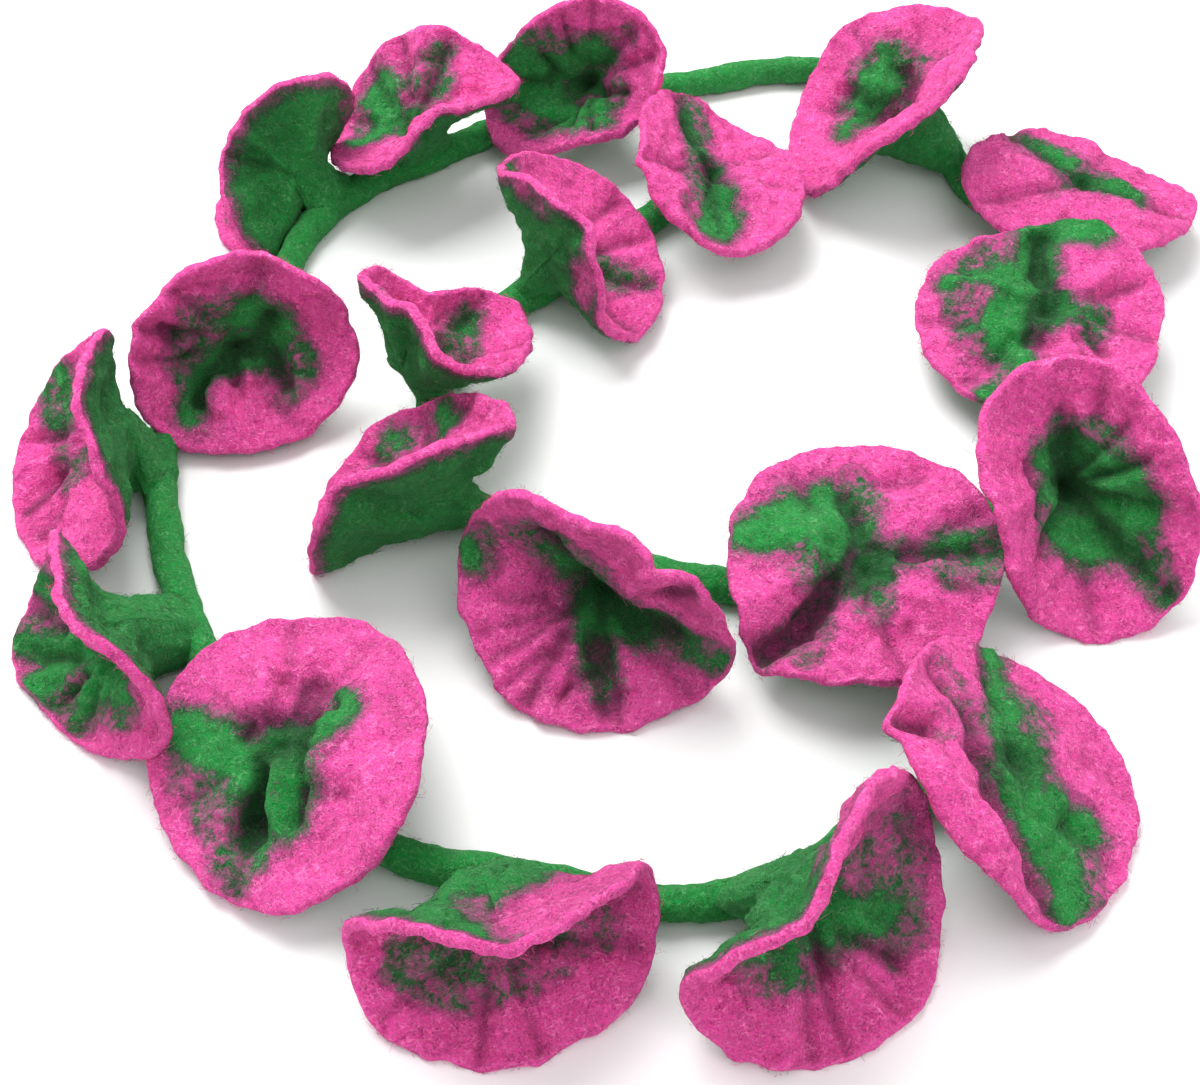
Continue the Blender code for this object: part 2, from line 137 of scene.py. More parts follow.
BLOOMS = (
    bloom((117, -94, 18), -40, 62,
          (20, 113, 44), (60, 101, 41), (95, 83, 40), (125, 73, 44), (160, 64, 46),
          (200, 66, 45), (240, 78, 49), (285, 83, 44), (335, 98, 43),
          folds=(fold(15, 3.5, (100, 0.45), (184, 0.5), (228, 0.95)),
                 fold(13, -3, (150, 0.85), (205, 0.85)))),
    bloom((54, -138, 20), -55, 28,
          (15, 85, 45), (57, 65, 44), (94, 44, 43), (130, 40, 44), (155, 57, 43),
          (188, 85, 43), (220, 70, 45), (255, 55, 43), (295, 57, 44), (336, 76, 44),
          flare=-0.04),
    bloom((-30, -134, 15), -80, 20,
          (12, 73, 46), (35, 45, 45), (55, 30, 46), (92, 23, 47), (126, 34, 44),
          (150, 52, 41), (178, 74, 42), (210, 58, 46), (256, 38, 46), (300, 40, 46), (335, 58, 48)),
    bloom((-91, -90, 18), -90, 85,
          (0, 66, 45), (31, 72, 44), (62, 84, 45), (99, 92, 46), (140, 94, 45),
          (180, 103, 43), (225, 104, 42), (262, 97, 47), (291, 87, 48), (325, 71, 48),
          folds=(fold(20, -6, (125, 0.3), (110, 0.5)), fold(11, 5, (4, 0.2), (68, 0.26), (72, 0.5)),
                 fold(11, 5, (216, 0.2), (252, 0.36), (248, 0.6)),
                 fold(11, -3.5, (8, 0.34), (304, 0.3)))),
    bloom((-146, -52, 16), 220, 20,
          (5, 77, 42), (38, 65, 42), (65, 50, 43), (100, 55, 38), (145, 76, 39),
          (180, 80, 39), (215, 64, 41), (253, 49, 32), (295, 51, 31), (330, 63, 35),
          flare=-0.08),
    bloom((-160, 30, 17), 200, 25,
          (6, 76, 48), (35, 64, 47), (62, 55, 44), (97, 60, 38), (142, 77, 37),
          (192, 63, 39), (231, 53, 42), (270, 46, 42), (317, 56, 48), (341, 70, 49),
          flare=-0.08),
    bloom((-128, 76, 15), -80, 40,
          (5, 64, 46), (35, 55, 44), (69, 50, 42), (100, 43, 43), (135, 41, 42),
          (180, 46, 43), (220, 56, 43.5), (265, 52, 43), (300, 55, 44), (335, 63, 46),
          folds=(fold(13, 4.5, (32, 0.42), (0, 0.2), (228, 0.3), (232, 0.6)),
                 fold(11, -3, (252, 0.4), (262, 0.8)), fold(11, 3.5, (348, 0.3), (318, 0.55)),
                 fold(12, 3, (150, 0.8), (165, 0.6)))),
    bloom((-111, 162, 16), 150, 20,
          (12, 50, 36), (35, 40, 36), (65, 42, 38), (89, 55, 41), (110, 67, 43), (124, 76, 41),
          (140, 80, 35), (165, 74, 30), (195, 64, 29), (220, 55, 34), (242, 44, 37), (266, 38, 39),
          (293, 41, 39), (318, 56, 40), (343, 99, 40), (357, 76, 38),
          flare=0),
    bloom((-72, 186, 17), -90, 80,
          (21, 65, 46), (50, 60, 44), (80, 56, 44), (110, 70, 42), (140, 93, 37), (168, 100, 33),
          (205, 80, 34), (235, 63, 38), (260, 51, 41), (283, 32, 40), (314, 29, 40), (346, 43, 41)),
    bloom((-4, 219, 18), -105, 40,
          (6, 52, 40), (40, 56, 41), (84, 46, 41), (125, 38, 41), (165, 45, 40),
          (205, 64, 44), (231, 58, 46), (260, 42, 40), (297, 35, 39), (335, 49, 37)),
    bloom((119, 194, 20), 178, 48,
          (6, 56, 49), (45, 61, 49), (85, 68, 46), (125, 78, 46), (160, 68, 48),
          (190, 57, 49), (230, 65, 47), (278, 69, 47), (312, 69, 50), (346, 58, 48)),
    bloom((183, 157, 18), -90, 80,
          (24, 108, 40), (60, 113, 40), (96, 108, 41), (125, 97, 41), (164, 89, 46),
          (192, 87, 43), (230, 80, 40), (273, 74, 40), (318, 80, 40), (352, 92, 43)),
    bloom((157, 87, 18), -90, 82,
          (17, 87, 44), (55, 82, 46), (98, 88, 40), (135, 94, 45), (175, 93, 45),
          (215, 88, 46), (260, 82, 45), (300, 77, 44), (345, 84, 40),
          folds=(fold(13, 6.5, (84, 0.9), (88, 0.48), (76, 0.2), (240, 0.3)),
                 fold(20, -3.5, (36, 0.7), (24, 0.4)), fold(11, 3, (332, 0.32), (312, 0.6)),
                 fold(13, -2.5, (150, 0.45), (190, 0.5)))),
    bloom((151, 9, 18), -95, 47,
          (11, 45, 44), (50, 47, 43), (90, 61, 46), (130, 62, 45), (165, 48, 45),
          (197, 36, 45), (230, 43, 46), (265, 61, 50), (300, 67, 53), (335, 59, 48),
          folds=(fold(11, 3, (116, 0.3), (312, 0.5), (316, 0.95)), fold(11, 3, (160, 0.5), (215, 0.5)))),
    bloom((83, -26, 18), -90, 88,
          (25, 78, 46), (60, 83, 48), (100, 86, 49), (140, 83, 47), (180, 80, 44),
          (224, 86, 47), (262, 85, 42), (300, 93, 40), (325, 91, 40), (350, 80, 41),
          folds=(fold(12, 7, (104, 0.15), (216, 0.3), (224, 0.64), (220, 1.0)),
                 fold(12, 4.5, (100, 0.6), (96, 0.3)), fold(15, -4, (200, 0.5), (205, 0.85)),
                 fold(24, -3, (152, 0.45), (155, 0.6)), fold(12, 3, (16, 0.3), (8, 0.94)),
                 fold(16, -3, (318, 0.45), (322, 0.6)))),
    bloom((0, -31, 16), -108, 35,
          (5, 67, 46), (25, 50, 45), (60, 42, 46), (105, 43, 45), (140, 64, 46),
          (170, 78, 46), (205, 60, 43), (245, 49, 45), (290, 54, 45), (322, 68, 45), (348, 77, 48),
          folds=(fold(13, -4, (40, 0.7), (44, 0.9)), fold(11, 4, (22, 0.7), (26, 1.0)),
                 fold(11, 3, (284, 0.3), (292, 0.9)), fold(11, 3, (246, 0.4), (252, 0.95)))),
    bloom((-52, 3, 18), 160, 40,
          (15, 38, 44), (45, 44, 44), (75, 61, 44), (110, 79, 40), (150, 74, 37),
          (190, 64, 40), (225, 56, 44), (260, 57, 46), (285, 65, 47), (310, 69, 47), (335, 56, 45),
          flare=-0.1),
    bloom((-61, 62, 18), 29, 63,
          (8, 43, 28), (26, 51, 37), (45, 50, 39), (68, 44, 39), (90, 37, 39), (112, 33, 39),
          (132, 38, 41), (150, 49, 42), (182, 50, 39), (210, 49, 37), (240, 51, 37), (264, 56, 40),
          (284, 57, 42), (304, 51, 36), (322, 42, 29), (345, 36, 26),
          flare=-0.12),
    bloom((-20, 114, 18), -5, 40,
          (7, 68, 43), (40, 76, 41), (72, 74, 39), (94, 50, 41), (135, 31, 44),
          (175, 40, 44), (205, 58, 43), (250, 54, 44), (300, 49, 44), (346, 57, 44),
          flare=-0.05),
    bloom((42, 163, 17), -80, 78,
          (10, 88, 35), (45, 104, 36), (75, 99, 39), (100, 78, 40), (130, 59, 37),
          (165, 48, 36), (200, 50, 38), (235, 61, 41), (273, 77, 43), (305, 72, 42), (335, 74, 37),
          folds=(fold(14, 3.5, (100, 0.9), (105, 0.4), (255, 0.3), (262, 0.65)),)),
)

# How the wool was laid into each bloom. "heart" is the radius of the green heart in millimetres.
# A streak is green wool on the pink inside, a patch is pink wool on the green back, and a dusk is
# where green and pink wool are mixed. Each of them runs through places given as around, share of
# the way from heart to rim, and width in millimetres. Creases are narrow folds.
Wool = namedtuple("Wool", "heart streaks patches dusks creases")


def wool(heart, streaks=(), patches=(), dusks=(), creases=()):
    return Wool(heart, streaks, patches, dusks, creases)


WOOLS = (
    # 01
    wool(10,
         streaks=(((30, 1.0, 8), (34, 0.5, 10), (50, 0.2, 14), (200, 0.15, 18), (240, 0.5, 17),
                   (242, 0.8, 13), (236, 0.97, 8)), ((262, 0.4, 14), (270, 0.68, 10))),
         patches=((230, 1.0, 20),),
         dusks=(((350, 0.3, 10), (352, 0.5, 14), (8, 0.62, 12)),
                ((74, 0.85, 10), (92, 0.5, 12), (118, 0.62, 12), (126, 0.85, 9)),
                ((258, 0.82, 8), (252, 0.92, 8))),
         creases=(fold(8, 5, (124, 0.98), (120, 0.72)), fold(7, 2.5, (84, 0.9), (96, 0.4)),
                  fold(8, 1.8, (38, 0.9), (38, 0.4)), fold(8, 1.8, (268, 0.9), (262, 0.5)),
                  fold(9, -2, (144, 0.95), (196, 0.9)))),
    # 02
    wool(10,
         streaks=(((328, 0.1, 16), (328, 0.35, 20), (325, 0.62, 16)),
                  ((300, 0.15, 16), (262, 0.28, 10), (215, 0.35, 12), (190, 0.5, 8))),
         patches=(((84, 0.72, 18), (66, 0.78, 28), (48, 0.85, 30), (34, 0.96, 22)),
                  ((150, 1.0, 6), (172, 1.0, 5))),
         dusks=(((355, 0.5, 22), (15, 0.72, 22), (350, 0.85, 14)), ((235, 0.38, 12), (205, 0.6, 10)),
                ((318, 0.75, 10), (306, 0.7, 8))),
         creases=(fold(7, 4, (262, 0.2), (258, 0.5)), fold(8, 3, (300, 0.3), (306, 0.78)),
                  fold(7, 2.2, (250, 0.35), (252, 0.98)), fold(7, 1.8, (236, 0.4), (238, 0.98)),
                  fold(7, 2, (280, 0.4), (284, 0.95)), fold(8, -1.8, (226, 0.4), (228, 0.95)))),
    # 03
    wool(12,
         streaks=(((206, 0.6, 9), (226, 0.45, 10)),),
         patches=(((66, 0.62, 24), (50, 0.8, 36), (20, 0.85, 36)), ((122, 0.42, 20), (116, 0.5, 17)),
                  ((185, 0.96, 12), (160, 0.97, 10), (140, 1.0, 6))),
         dusks=(((196, 0.6, 18), (236, 0.42, 24), (300, 0.38, 24), (340, 0.5, 18)),
                ((350, 0.7, 14), (20, 0.8, 12))),
         creases=(fold(8, 2.2, (250, 0.4), (250, 0.98)), fold(8, 1.8, (285, 0.4), (285, 1.0)),
                  fold(8, 2.4, (330, 0.35), (345, 0.9)), fold(7, 2, (212, 0.4), (208, 0.95)),
                  fold(8, 2, (355, 0.5), (5, 0.9)))),
    # 04
    wool(7,
         streaks=(((164, 0.88, 10), (168, 0.7, 16), (180, 0.5, 20), (205, 0.38, 18), (250, 0.3, 16)),
                  ((30, 0.44, 14), (18, 0.3, 15), (330, 0.14, 12), (285, 0.3, 12), (272, 0.48, 12)),
                  ((232, 0.25, 20), (248, 0.45, 22), (254, 0.78, 10))),
         dusks=(((196, 0.75, 12), (210, 0.62, 18), (228, 0.62, 18), (240, 0.78, 14)),
                ((256, 0.75, 10), (254, 0.92, 6))),
         creases=(fold(5, 4, (330, 0.14), (288, 0.34), (282, 0.5)),
                  fold(5, 4, (222, 0.12), (240, 0.3), (246, 0.52)),
                  fold(8, -2.5, (252, 0.12), (264, 0.38)),
                  fold(6, 4, (168, 0.3), (130, 0.22), (60, 0.2), (42, 0.4)),
                  fold(7, 2.2, (296, 0.4), (316, 0.58)), fold(9, 1.6, (92, 0.4), (94, 0.95)),
                  fold(9, 1.6, (60, 0.5), (56, 0.95)), fold(9, 2, (250, 0.5), (252, 0.95)),
                  fold(8, 1.8, (205, 0.5), (203, 0.95)))),
    # 05
    wool(14,
         streaks=(((182, 0.95, 9), (190, 0.8, 8)),
                  ((212, 0.95, 8), (214, 0.7, 12), (222, 0.45, 20), (235, 0.6, 18), (240, 0.85, 14)),
                  ((300, 0.3, 22), (288, 0.5, 14), (290, 0.75, 8), (291, 0.9, 5)),
                  ((330, 0.3, 16), (345, 0.55, 8))),
         patches=(((86, 0.84, 8), (76, 0.78, 7)), ((50, 1.0, 6), (30, 0.98, 8), (8, 0.97, 10)),
                  ((150, 0.98, 10), (135, 1.0, 6))),
         dusks=(((252, 0.5, 9), (255, 0.82, 9)), ((200, 0.8, 10), (204, 0.95, 8)),
                ((320, 0.6, 10), (340, 0.7, 8))),
         creases=(fold(8, 2.2, (226, 0.4), (220, 0.95)), fold(7, 2.4, (262, 0.4), (262, 0.9)),
                  fold(8, 2, (296, 0.4), (296, 0.95)), fold(8, 2, (200, 0.6), (198, 0.95)))),
    # 06
    wool(8,
         streaks=(((184, 0.95, 9), (192, 0.84, 13), (202, 0.7, 10)),),
         dusks=(((208, 0.7, 12), (195, 0.9, 10)), ((250, 0.4, 16), (290, 0.45, 12))),
         creases=(fold(8, 4.5, (284, 0.92), (272, 0.72), (262, 0.6)),
                  fold(9, -2.5, (250, 0.9), (245, 0.5)), fold(8, 2, (305, 0.9), (300, 0.6)),
                  fold(8, 2.5, (226, 0.85), (222, 0.6)), fold(10, -3, (338, 0.9), (345, 0.7)))),
    # 07
    wool(8,
         streaks=(((100, 0.42, 8), (80, 0.38, 14), (50, 0.42, 16), (18, 0.4, 16), (352, 0.42, 10)),
                  ((0, 0.2, 16), (200, 0.2, 16), (215, 0.4, 12), (226, 0.6, 10), (232, 0.8, 6)),
                  ((344, 0.3, 7), (325, 0.5, 7), (318, 0.62, 6)), ((350, 0.58, 5), (338, 0.66, 5))),
         dusks=(((126, 0.7, 14), (140, 0.5, 20), (165, 0.45, 20), (180, 0.6, 14)),
                ((338, 0.5, 12), (330, 0.55, 10)), ((110, 0.5, 14), (90, 0.55, 8))),
         creases=(fold(7, 3, (268, 0.32), (280, 0.52)), fold(8, -3, (240, 0.35), (250, 0.65)),
                  fold(8, -3, (300, 0.2), (278, 0.75)), fold(8, 2.4, (150, 0.35), (158, 0.95)),
                  fold(9, 2.4, (185, 0.35), (180, 0.9)), fold(10, 1.8, (300, 0.6), (305, 0.95)),
                  fold(9, 2, (120, 0.4), (122, 0.9)), fold(10, 1.6, (60, 0.55), (60, 0.9)))),
    # 08
    wool(10,
         patches=(((118, 1.0, 10), (132, 0.92, 14), (150, 0.95, 14)), ((322, 0.98, 8), (330, 0.9, 9))),
         dusks=(((86, 0.8, 16), (100, 0.78, 10)), ((128, 0.7, 14), (140, 0.8, 12)),
                ((40, 0.75, 14), (20, 0.6, 16)), ((320, 0.8, 14), (310, 0.6, 10))),
         creases=(fold(9, 2, (60, 0.4), (60, 0.95)), fold(9, 2, (110, 0.4), (112, 0.95)),
                  fold(9, -1.8, (30, 0.5), (30, 0.95)))),
    # 09
    wool(10,
         streaks=(((120, 0.78, 8), (126, 0.62, 16), (140, 0.5, 20), (165, 0.5, 14), (180, 0.72, 7)),
                  ((70, 0.82, 5), (66, 0.62, 6), (60, 0.45, 8))),
         dusks=(((92, 0.45, 12), (84, 0.6, 10)), ((155, 0.72, 8), (140, 0.8, 6)),
                ((62, 0.5, 8), (66, 0.7, 8))),
         creases=(fold(8, 2.6, (60, 0.3), (66, 0.9)), fold(8, 2.2, (100, 0.35), (100, 0.95)),
                  fold(8, 2.2, (128, 0.5), (122, 0.95)), fold(8, -2, (85, 0.4), (84, 0.95)),
                  fold(8, 2, (152, 0.6), (150, 0.95)))),
    # 10
    wool(12,
         streaks=(((158, 0.98, 10), (162, 0.8, 20), (170, 0.6, 24), (150, 0.4, 22), (110, 0.38, 18),
                   (70, 0.4, 14)),
                  ((195, 0.75, 18), (200, 0.5, 24), (250, 0.5, 16), (290, 0.5, 16), (320, 0.5, 12)),
                  ((285, 0.75, 8), (310, 0.75, 8))),
         dusks=(((150, 0.8, 12), (120, 0.6, 10)), ((215, 0.72, 12), (235, 0.65, 10)),
                ((20, 0.45, 8), (350, 0.5, 8)), ((60, 0.6, 8), (50, 0.8, 10))),
         creases=(fold(7, 2.6, (160, 0.64), (180, 0.34)), fold(7, 2.4, (116, 0.42), (112, 0.85)),
                  fold(7, 2.4, (48, 0.28), (50, 0.85)), fold(7, 2.6, (356, 0.6), (340, 0.3)),
                  fold(7, 2.2, (248, 0.5), (225, 0.8)), fold(7, 2.4, (300, 0.82), (300, 0.4)),
                  fold(7, 2.2, (30, 0.4), (28, 0.85)), fold(7, 2.6, (196, 0.35), (190, 0.8)),
                  fold(7, 2.2, (265, 0.3), (268, 0.65)), fold(8, 2, (84, 0.6), (86, 0.95)))),
    # 11
    wool(10,
         streaks=(((172, 0.58, 10), (172, 0.4, 18), (200, 0.38, 20), (225, 0.38, 18), (250, 0.4, 12),
                   (272, 0.5, 6)),),
         dusks=(((110, 0.5, 10), (122, 0.6, 9)), ((150, 0.6, 8), (140, 0.45, 10)),
                ((214, 0.55, 8), (240, 0.5, 8))),
         creases=(fold(7, 2.4, (150, 0.2), (150, 0.75)), fold(7, 2.6, (168, 0.58), (148, 0.28)),
                  fold(7, 2.2, (224, 0.32), (224, 0.62)), fold(7, 2.2, (116, 0.5), (110, 0.85)),
                  fold(8, 1.8, (240, 0.2), (240, 0.8)), fold(8, 1.8, (190, 0.5), (186, 0.95)))),
    # 12
    wool(6,
         streaks=(((124, 0.9, 5), (120, 0.6, 10), (112, 0.32, 11)),
                  ((350, 0.14, 9), (345, 0.3, 11), (338, 0.5, 7))),
         dusks=(((100, 0.6, 10), (75, 0.4, 12), (40, 0.35, 10)), ((200, 0.3, 12), (220, 0.4, 8))),
         creases=(fold(9, 2.6, (130, 0.2), (124, 0.95)), fold(8, 2.4, (330, 0.2), (338, 0.95)),
                  fold(9, 2, (190, 0.3), (190, 0.95)), fold(13, 1.8, (236, 1.0)),
                  fold(9, 1.8, (60, 0.3), (60, 0.95)), fold(9, -1.6, (230, 0.4), (232, 0.9)))),
    # 13
    wool(9,
         streaks=(((86, 0.98, 20), (90, 0.7, 16), (95, 0.4, 18)),
                  ((78, 0.95, 14), (62, 0.92, 14), (54, 0.95, 8)),
                  ((110, 0.35, 18), (128, 0.45, 26), (140, 0.6, 16), (152, 0.8, 8)),
                  ((175, 0.25, 18), (192, 0.42, 22), (215, 0.45, 18), (238, 0.55, 12)),
                  ((350, 0.22, 9), (342, 0.38, 9)), ((236, 0.9, 6), (234, 1.0, 8))),
         dusks=(((130, 0.75, 16), (115, 0.85, 14)), ((165, 0.6, 18), (180, 0.7, 14), (200, 0.62, 10)),
                ((350, 0.42, 12), (325, 0.45, 12)), ((232, 0.65, 10), (236, 0.85, 8))),
         creases=(fold(8, -2, (140, 0.3), (150, 0.8)), fold(8, 2.2, (12, 0.4), (20, 0.9)),
                  fold(8, 2.4, (300, 0.4), (290, 0.85)), fold(9, 2, (190, 0.5), (178, 0.95)),
                  fold(8, 2.2, (225, 0.5), (222, 0.95)), fold(9, 2, (344, 0.5), (344, 0.95)))),
    # 14
    wool(12,
         streaks=(((130, 0.3, 16), (80, 0.34, 18), (40, 0.42, 16), (16, 0.58, 10)),
                  ((0, 0.35, 26), (340, 0.48, 20), (350, 0.62, 10)),
                  ((200, 0.25, 16), (250, 0.32, 18), (290, 0.35, 18), (318, 0.5, 14), (316, 0.72, 7),
                   (315, 0.96, 5))),
         dusks=(((110, 0.5, 8), (60, 0.55, 8)), ((220, 0.45, 10), (245, 0.5, 8)),
                ((330, 0.7, 8), (316, 0.85, 7))),
         creases=(fold(7, 2.4, (100, 0.2), (104, 0.65)), fold(7, 2.4, (64, 0.2), (60, 0.75)),
                  fold(7, 2.2, (30, 0.2), (28, 0.7)), fold(7, -2, (56, 0.42), (48, 0.2)),
                  fold(8, -2, (16, 0.68), (10, 0.3)), fold(7, 2.2, (245, 0.2), (245, 0.75)),
                  fold(7, 2, (350, 0.25), (350, 0.65)), fold(8, 1.8, (80, 0.6), (82, 0.95)),
                  fold(8, 1.8, (284, 0.55), (282, 0.95)))),
    # 15
    wool(7,
         streaks=(((100, 0.55, 10), (112, 0.55, 18), (130, 0.58, 22), (150, 0.62, 22), (163, 0.8, 14),
                   (167, 0.95, 9)), ((105, 0.3, 14), (140, 0.35, 20), (175, 0.35, 14)),
                  ((40, 0.12, 9), (18, 0.35, 6), (14, 0.65, 7), (11, 0.95, 7)),
                  ((352, 0.7, 4), (356, 0.95, 7)), ((262, 0.15, 7), (272, 0.4, 5))),
         dusks=(((8, 0.4, 10), (2, 0.7, 16), (0, 0.95, 16)), ((190, 0.5, 14), (205, 0.4, 14)),
                ((232, 0.6, 16), (237, 0.85, 12)), ((214, 0.35, 17), (225, 0.62, 16), (222, 0.95, 13)),
                ((270, 0.3, 12), (262, 0.42, 8)), ((80, 0.5, 10), (92, 0.75, 10))),
         creases=(fold(5, 2.5, (204, 0.28), (216, 0.4), (224, 0.64), (220, 1.0)),
                  fold(7, 2.5, (264, 0.2), (264, 0.4)),
                  fold(6, 3, (100, 0.2), (60, 0.16), (20, 0.3), (12, 0.6)),
                  fold(8, -2, (64, 0.58), (36, 0.84)), fold(8, 2.2, (30, 0.3), (26, 0.95)),
                  fold(8, 1.8, (120, 0.6), (118, 0.95)), fold(9, 1.8, (345, 0.4), (342, 0.95)),
                  fold(8, 1.8, (60, 0.85), (80, 0.7)), fold(8, 2, (280, 0.5), (284, 0.95)))),
    # 16
    wool(9,
         streaks=(((142, 0.6, 10), (136, 0.42, 18), (120, 0.26, 20), (330, 0.15, 18), (345, 0.35, 15),
                   (348, 0.6, 10), (349, 0.92, 8)),
                  ((250, 0.12, 12), (288, 0.32, 12), (291, 0.58, 8), (292, 0.75, 4)),
                  ((172, 1.0, 8), (176, 0.9, 6))),
         dusks=(((138, 0.6, 14), (128, 0.4, 18), (60, 0.3, 16), (20, 0.4, 12), (355, 0.5, 12)),
                ((110, 0.5, 18), (80, 0.45, 14)), ((345, 0.75, 8), (352, 0.9, 8)),
                ((160, 0.9, 8), (150, 0.75, 10))),
         creases=(fold(11, 4, (142, 0.6), (130, 0.3), (340, 0.2), (348, 0.6)),
                  fold(7, 2.4, (284, 0.38), (292, 0.56), (268, 0.8)),
                  fold(9, 2.4, (222, 0.2), (222, 0.95)), fold(8, 2, (240, 0.58), (238, 0.95)),
                  fold(8, 2.4, (296, 0.15), (300, 0.95)), fold(8, 2.2, (192, 0.72), (190, 0.35)),
                  fold(8, 2.2, (205, 0.3), (208, 0.95)), fold(8, 2, (330, 0.3), (330, 0.95)))),
    # 17
    wool(10,
         streaks=(((220, 0.78, 8), (228, 0.72, 7)), ((184, 0.86, 8), (180, 0.72, 9))),
         patches=(((292, 1.0, 7), (296, 0.92, 6)),),
         dusks=(((75, 0.8, 9), (60, 0.75, 8), (45, 0.85, 6)), ((285, 0.9, 10), (290, 0.75, 12)),
                ((205, 0.7, 10), (240, 0.75, 8))),
         creases=(fold(9, 2, (240, 0.4), (240, 0.95)), fold(8, 2.4, (280, 0.95), (275, 0.6)),
                  fold(9, 2, (300, 0.3), (300, 0.95)), fold(8, 2, (200, 0.5), (200, 0.95)),
                  fold(8, 2.2, (110, 0.95), (105, 0.6)))),
    # 18
    wool(8,
         streaks=(((262, 0.25, 9), (290, 0.45, 11), (298, 0.7, 6)),),
         patches=(((112, 1.0, 8), (130, 0.97, 9), (150, 0.96, 10), (175, 0.96, 11), (200, 0.97, 9)),),
         dusks=(((80, 0.95, 9), (85, 0.85, 9)), ((250, 0.3, 12), (280, 0.3, 12))),
         creases=(fold(8, 1.8, (250, 0.3), (250, 0.95)), fold(8, 1.8, (300, 0.5), (300, 0.95)),
                  fold(9, 1.8, (90, 0.4), (92, 0.95)))),
    # 19
    wool(8,
         streaks=(((280, 0.45, 9), (276, 0.62, 8), (275, 0.8, 4)), ((75, 0.92, 8), (60, 0.9, 7))),
         patches=(((88, 0.95, 18), (100, 0.88, 17)), ((176, 0.98, 22), (182, 0.8, 24), (190, 0.68, 15)),
                  ((150, 1.0, 6), (165, 1.0, 10))),
         dusks=(((95, 0.85, 12), (110, 0.9, 8)), ((285, 0.45, 12), (250, 0.5, 10)),
                ((172, 0.72, 12), (180, 0.6, 10))),
         creases=(fold(8, 2.4, (275, 0.45), (272, 0.95)), fold(8, 2.4, (232, 0.98), (238, 0.6)),
                  fold(8, 2, (340, 0.3), (340, 0.9)), fold(8, 2, (310, 0.4), (310, 0.95)))),
    # 20
    wool(5,
         streaks=(((92, 0.88, 5), (97, 0.72, 9), (104, 0.45, 10), (130, 0.18, 8)),
                  ((262, 0.14, 8), (262, 0.35, 15), (262, 0.6, 17), (258, 0.8, 12), (254, 0.9, 6))),
         dusks=(((88, 0.85, 8), (80, 0.6, 8)), ((205, 0.3, 12), (225, 0.4, 12), (235, 0.75, 8))),
         creases=(fold(9, -1.4, (255, 0.2), (258, 0.7)), fold(10, 1.6, (330, 0.3), (330, 0.95)),
                  fold(9, 1.8, (200, 0.4), (190, 0.95)), fold(9, 1.6, (30, 0.4), (28, 0.95)))),
)


def linear(hex_colour):
    """An sRGB hex colour as the linear red, green and blue that Blender keeps."""
    parts = [int(hex_colour[i:i + 2], 16) / 255 for i in (0, 2, 4)]
    return tuple(p / 12.92 if p <= 0.04045 else ((p + 0.055) / 1.055) ** 2.4 for p in parts)


class GarlandSizes(bpy.types.PropertyGroup):
    rope_radius: bpy.props.FloatProperty(
        name="Rope radius", description="Half the thickness of the felted rope",
        default=5.4 * MM, min=3 * MM, max=9 * MM, unit="LENGTH", precision=4)
    rim_felt: bpy.props.FloatProperty(
        name="Felt at the rim", description="Thickness of the felt at a bloom's rim",
        default=3.6 * MM, min=1.5 * MM, max=5 * MM, unit="LENGTH", precision=4)
    crumple: bpy.props.FloatProperty(
        name="Crumple", description="How deep the small hollows and lumps of the felt are",
        default=1.25 * MM, min=0, max=2.5 * MM, unit="LENGTH", precision=4)
    rim_waver: bpy.props.FloatProperty(
        name="Rim waver", description="How far the hand-worked rim wanders in and out",
        default=0.8 * MM, min=0, max=2 * MM, unit="LENGTH", precision=4)
    fibre_length: bpy.props.FloatProperty(
        name="Fibre length", description="Length of the loose wool fibres",
        default=3.2 * MM, min=1 * MM, max=8 * MM, unit="LENGTH", precision=4)
    fibres: bpy.props.IntProperty(
        name="Fibres on a bloom", description="Number of loose fibres on each bloom",
        default=2400, min=0, max=6000)


class GarlandColours(bpy.types.PropertyGroup):
    pink: bpy.props.FloatVectorProperty(
        name="Pink wool", description="Main colour of the rims and insides",
        subtype="COLOR", default=linear("F64EAA"), min=0, max=1)
    rose: bpy.props.FloatVectorProperty(
        name="Rose wool", description="Duller pink that is mixed into the insides",
        subtype="COLOR", default=linear("CC4890"), min=0, max=1)
    mauve: bpy.props.FloatVectorProperty(
        name="Mixed wool", description="Where pink and green wool are felted into each other",
        subtype="COLOR", default=linear("8C5E70"), min=0, max=1)
    shade: bpy.props.FloatVectorProperty(
        name="Dark green wool", description="Edges of the green, with a little pink in it",
        subtype="COLOR", default=linear("2F6A3C"), min=0, max=1)
    green: bpy.props.FloatVectorProperty(
        name="Green wool", description="Rope, hearts and backs",
        subtype="COLOR", default=linear("10923A"), min=0, max=1)


# Working out the shapes

def smooth(before, here, there, after, t):
    """Catmull-Rom: the value between here and there."""
    a = 2 * here
    b = there - before
    c = 2 * before - 5 * here + 4 * there - after
    d = 3 * here - before - 3 * there + after
    return 0.5 * (a + b * t + c * t * t + d * t ** 3)


def rope_way(count):
    """Evenly spaced places along the route's smooth curve."""
    knots = [np.array(p, float) for p in ROUTE]
    knots = [2 * knots[0] - knots[1]] + knots + [2 * knots[-1] - knots[-2]]
    fine = []
    for i in range(1, len(knots) - 2):
        fine += [smooth(*knots[i - 1:i + 3], step / 24) for step in range(24)]
    fine = np.array(fine + [knots[-2]])
    travelled = np.concatenate(([0], np.cumsum(np.linalg.norm(np.diff(fine, axis=0), axis=1))))
    wanted = np.linspace(0, travelled[-1], count)
    return np.stack([np.interp(wanted, travelled, fine[:, k]) for k in (0, 1)], axis=1)


